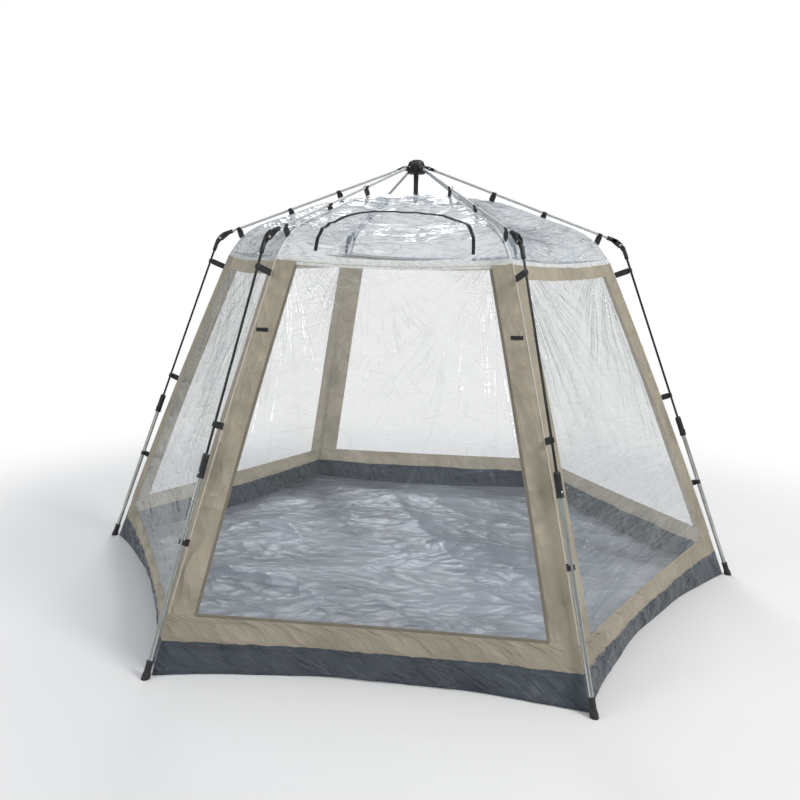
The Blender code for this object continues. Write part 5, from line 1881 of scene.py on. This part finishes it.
# %% A node tree that repeats a block along lines
def marks_tree():
    """Takes lines with an up attribute on their points, and gives blocks of a size at an even spacing."""
    tree = bpy.data.node_groups.new("marks_along_lines", "GeometryNodeTree")
    kinds = {"Geometry": "Geometry", "Size": "Vector", "Spacing": "Float", "Material": "Material"}
    for name, kind in kinds.items():
        tree.interface.new_socket(name, in_out="INPUT", socket_type="NodeSocket" + kind)
    tree.interface.new_socket("Geometry", in_out="OUTPUT", socket_type="NodeSocketGeometry")
    add = tree.nodes.new
    given, result = add("NodeGroupInput"), add("NodeGroupOutput")
    curve = add("GeometryNodeMeshToCurve")
    even = add("GeometryNodeResampleCurve")
    even.mode = "LENGTH"
    up = add("GeometryNodeInputNamedAttribute")
    up.data_type = "FLOAT_VECTOR"
    up.inputs["Name"].default_value = "up"
    tangent = add("GeometryNodeInputTangent")
    stand, face = add("FunctionNodeAlignRotationToVector"), add("FunctionNodeAlignRotationToVector")
    stand.axis, face.axis, face.pivot_axis = "Z", "X", "Z"
    block = add("GeometryNodeMeshCube")
    place = add("GeometryNodeInstanceOnPoints")
    real = add("GeometryNodeRealizeInstances")
    paint = add("GeometryNodeSetMaterial")
    for source, output, target, key in (
        (given, "Geometry", curve, "Mesh"),
        (curve, 0, even, "Curve"),
        (given, "Spacing", even, "Length"),
        (up, "Attribute", stand, "Vector"),
        (stand, 0, face, "Rotation"),
        (tangent, 0, face, "Vector"),
        (given, "Size", block, "Size"),
        (even, 0, place, "Points"),
        (block, "Mesh", place, "Instance"),
        (face, 0, place, "Rotation"),
        (place, 0, real, 0),
        (real, 0, paint, "Geometry"),
        (given, "Material", paint, "Material"),
        (paint, 0, result, 0),
    ):
        tree.links.new(source.outputs[output], target.inputs[key])
    return tree


marks = marks_tree()
print("nodes in the tree:", len(marks.nodes))

# %% [markdown]
# ## Marks along lines
#
# The tree works on a loose line of edges, with the outward direction stored on each point. It could stay a
# live modifier, but a finished piece must be a plain mesh, so its result is taken and the line is removed.


# %% Marks along lines
def marks_along(name, lines, size, spacing, material):
    """Blocks along lines; a line is a list of (point, outward direction)."""
    points, edges, ups = [], [], []
    for line in lines:
        first = len(points)
        points += [p for p, _ in line]
        ups += [value for _, up in line for value in up]
        edges += [(first + i, first + i + 1) for i in range(len(line) - 1)]
    mesh = bpy.data.meshes.new(name + "_lines")
    mesh.from_pydata(points, edges, [])
    mesh.attributes.new("up", "FLOAT_VECTOR", "POINT").data.foreach_set("vector", ups)
    holder = bpy.data.objects.new(name + "_lines", mesh)
    bpy.context.collection.objects.link(holder)
    modifier = holder.modifiers.new("marks", "NODES")
    modifier.node_group = marks
    sockets = {item.name: item.identifier for item in marks.interface.items_tree if item.in_out == "INPUT"}
    for key, value in (("Size", size), ("Spacing", spacing), ("Material", material)):
        modifier[sockets[key]] = value
    bpy.context.view_layer.update()
    depsgraph = bpy.context.evaluated_depsgraph_get()
    made = bpy.data.meshes.new_from_object(holder.evaluated_get(depsgraph))
    bpy.data.objects.remove(holder)
    made.name = name
    finish_piece(name, made, [], smooth=False)
    print(name, "faces:", len(made.polygons))


print("inputs:", [item.name for item in marks.interface.items_tree if item.in_out == "INPUT"])

# %% [markdown]
# ## Tapes
#
# A zip's tape and a welded strip are flat bands that follow a line on the cloth. A curve with a flat profile
# twists where the line bends. Here each point of a line carries its outward direction, so the band stays
# flat against the cloth.


# %% Tapes
def leaning_out(turned, rise=0.25):
    """The outward direction of a side or corner, leaning up as the cloth does."""
    return (turned @ Vector((1, 0, rise))).normalized()


def tape_mesh(name, line, width, lift=0.0006):
    """A flat tape along a line of (point, outward direction)."""
    rows = [[], [], []]
    for i, (p, up) in enumerate(line):
        ahead = line[min(i + 1, len(line) - 1)][0] - line[max(i - 1, 0)][0]
        aside = ahead.cross(up).normalized()
        for row, share, rise in zip(rows, (-0.5, 0, 0.5), (0.0, 0.0003, 0.0)):
            row.append(p + aside * (width * share) + up * (lift + rise))
    return grid_mesh(name, rows, inside=Vector())


def raised(line, amount):
    return [(p + up * amount, up) for p, up in line]


print("tape helpers:", ["leaning_out", "tape_mesh", "raised"])

# %% [markdown]
# ## Zip and hinge of the roof window
#
# A black zip edges the window's round side, and a pale welded strip covers its hinge. They must lie on the
# creased roof, so each point is dropped onto the roof's mesh with a ray. Formulas for the smooth roof would
# sink the tape into the creases.

# %% Zip and hinge of the roof window
WINDOW_ZIP_OUT = 0.004
HINGE_SEAM_OUT, HINGE_SEAM_WIDTH = 0.0068, 0.012
WINDOW_TAPE, WINDOW_TEETH_LIFT = 0.013, 0.0014
WINDOW_TOOTH, WINDOW_TOOTH_STEP = (0.0017, 0.0044, 0.0014), 0.0026
front = turn(DOOR)


def on_roof(inward, aside):
    """The point and the upward normal of the creased roof at a plan position of the front side."""
    plan = front @ Vector((inward, aside, 0))
    place, normal, _, _ = roof_tree.ray_cast(Vector((plan.x, plan.y, 3)), Vector((0, 0, -1)))
    return place, normal if normal.z > 0 else -normal


window_depth, window_half = WINDOW_DEPTH + WINDOW_ZIP_OUT, WINDOW_HALF + WINDOW_ZIP_OUT
window_line = []
for angle in spaced(math.pi * 0.004, math.pi * 0.996, 150):
    window_line.append(on_roof(WINDOW_BASE - window_depth * math.sin(angle), window_half * math.cos(angle)))
finish_piece("window_zip_tape", tape_mesh("window_zip_tape", window_line, WINDOW_TAPE), [zip_black])
window_teeth = [raised(window_line, WINDOW_TEETH_LIFT)]
marks_along("window_zip_teeth", window_teeth, WINDOW_TOOTH, WINDOW_TOOTH_STEP, zip_black)
base_line = [on_roof(WINDOW_BASE + HINGE_SEAM_OUT, aside) for aside in spaced(-WINDOW_HALF, WINDOW_HALF, 40)]
window_seam = tape_mesh("window_hinge_seam", base_line, HINGE_SEAM_WIDTH)
finish_piece("window_hinge_seam", window_seam, [seam_film])
print("points of the window's zip:", len(window_line))

# %% [markdown]
# ## Zips and hinge of the door
#
# A taupe zip runs down both sides of the door and along its foot, and a welded strip covers its hinge. The
# film's creases have faded out at the seams, so here the side's own formula is enough, and no ray is needed.

# %% Zips and hinge of the door
DOOR_TAPE, DOOR_TAPE_LIFT, DOOR_TEETH_LIFT = 0.012, 0.0010, 0.0026
DOOR_ZIP_GAP = 0.001
DOOR_SEAM_UP, DOOR_SEAM_WIDTH = 0.0065, 0.010
DOOR_TOOTH, DOOR_TOOTH_STEP = (0.0018, 0.0046, 0.0014), 0.0030


def along_band(height, columns=50):
    """A line across the door at a height."""
    edge = film_reach(height, DOOR_ZIP_GAP)
    points = [front @ side_point(across, height) for across in spaced(-edge, edge, columns)]
    return [(p, leaning_out(front)) for p in points]


def down_door(sign):
    """A line down one side of the door."""
    line = []
    for height in spaced(DOOR_TOP, BAND_TOP + 0.002, 60):
        line.append((front @ side_point(sign * film_reach(height, DOOR_ZIP_GAP), height), leaning_out(front)))
    return line


door_seam = tape_mesh("door_hinge_seam", along_band(DOOR_TOP + DOOR_SEAM_UP), DOOR_SEAM_WIDTH)
finish_piece("door_hinge_seam", door_seam, [seam_film])
door_lines = [down_door(-1), down_door(1), along_band(BAND_TOP + 0.004)]
tapes = [tape_mesh("door_tape", raised(line, DOOR_TAPE_LIFT), DOOR_TAPE) for line in door_lines]
finish_piece("door_zip_tape", merged_mesh("door_zip_tape", tapes), [zip_taupe])
door_teeth = [raised(line, DOOR_TEETH_LIFT) for line in door_lines]
marks_along("door_zip_teeth", door_teeth, DOOR_TOOTH, DOOR_TOOTH_STEP, zip_taupe)
print("zips and hinge seams:", [piece.name for piece in folding_pieces[-6:]])

# %% [markdown]
# ## Piping
#
# A thin pale cord covers each corner's edge. A line in the material would pass for it from afar, but close
# by it is a small round ridge with its own shadow. A bevelled curve has to be turned into a mesh before it
# is finished, so rings of points are bridged at once.

# %% Piping
PIPING_RADIUS, PIPING_OUT, PIPING_END = 0.0019, 0.0014, 0.004


def round_line(name, line, radius, sides=8):
    """A thin round cord sewn along a line, as a plain mesh."""
    bm = bmesh.new()
    angles = [2 * math.pi * k / sides for k in range(sides)]
    rings = []
    for i, (p, up) in enumerate(line):
        ahead = (line[min(i + 1, len(line) - 1)][0] - line[max(i - 1, 0)][0]).normalized()
        aside = ahead.cross(up).normalized()
        across = ahead.cross(aside)
        ring = [p + aside * (radius * math.cos(a)) + across * (radius * math.sin(a)) for a in angles]
        rings.append([bm.verts.new(q) for q in ring])
    bridge(bm, rings)
    bm.faces.new(rings[0])
    bm.faces.new(rings[-1][::-1])
    return solid_mesh(bm, name)


def corner_line(azimuth):
    """A line down a corner, just outside the fold of its strip."""
    line = []
    for height in spaced(EAVE - PIPING_END, BAND_TOP + PIPING_END, 50):
        place = Vector((edge_radius(height) + PIPING_OUT, 0, height))
        line.append((turn(azimuth) @ place, leaning_out(turn(azimuth), 0.3)))
    return line


for corner, azimuth in CORNERS.items():
    cord = round_line("piping", corner_line(azimuth), PIPING_RADIUS)
    finish_piece(f"piping_{corner}", cord, [piping_cloth])
print("cords:", len(CORNERS), "with", len(cord.polygons), "faces each")

# %% [markdown]
# ## Stitches
#
# Rows of stitches hold the strips and the band. They could be a bump in the cloth, but it is single threads
# standing on it that make it look sewn. The tree that made the zips' teeth takes these lines too, with a
# thinner block and a wider spacing.

# %% Stitches
STITCH, STITCH_STEP = (0.0030, 0.0008, 0.0006), 0.0052
STITCH_IN, STITCH_OUT, HEM_IN, HEM_OUT = 0.004, 0.0013, 0.006, 0.0006


def strip_stitch_line(azimuth, sign):
    """A row of stitches along one edge of a corner's strip."""
    turned = turn(azimuth + 30 * sign)
    line = []
    for height in spaced(EAVE - 0.012, BAND_TOP + 0.008, 60):
        p = side_point(-sign * film_reach(height, -STITCH_IN), height) + Vector((STITCH_OUT, 0, 0))
        line.append((turned @ p, leaning_out(turned)))
    return line


def hem_line(side, height):
    """A row of stitches along one side of the bottom band."""
    turned = turn(side)
    line = []
    for across in spaced(-1, 1, 60):
        p = ring_point(side, across, height, band_relief) + Vector((HEM_OUT, 0, 0))
        line.append((turned @ p, leaning_out(turned)))
    return line


strip_lines = [strip_stitch_line(azimuth, sign) for azimuth in CORNERS.values() for sign in (-1, 1)]
marks_along("strip_stitches", strip_lines, STITCH, STITCH_STEP, thread)
hem_lines = [hem_line(side, height) for height in (BAND_TOP - HEM_IN, TUB_TOP + HEM_IN) for side in SIDES]
marks_along("band_stitches", hem_lines, STITCH, STITCH_STEP, thread)
print("rows of stitches:", len(strip_lines) + len(hem_lines))

# %% [markdown]
# ## Own meshes for the folding pieces
#
# When the hub is pulled down and the legs fold in, the real film and cloth drop round the poles. Here each
# piece that rides on a folding body gets a mesh of its own.

for piece in folding_pieces:
    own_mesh(piece)
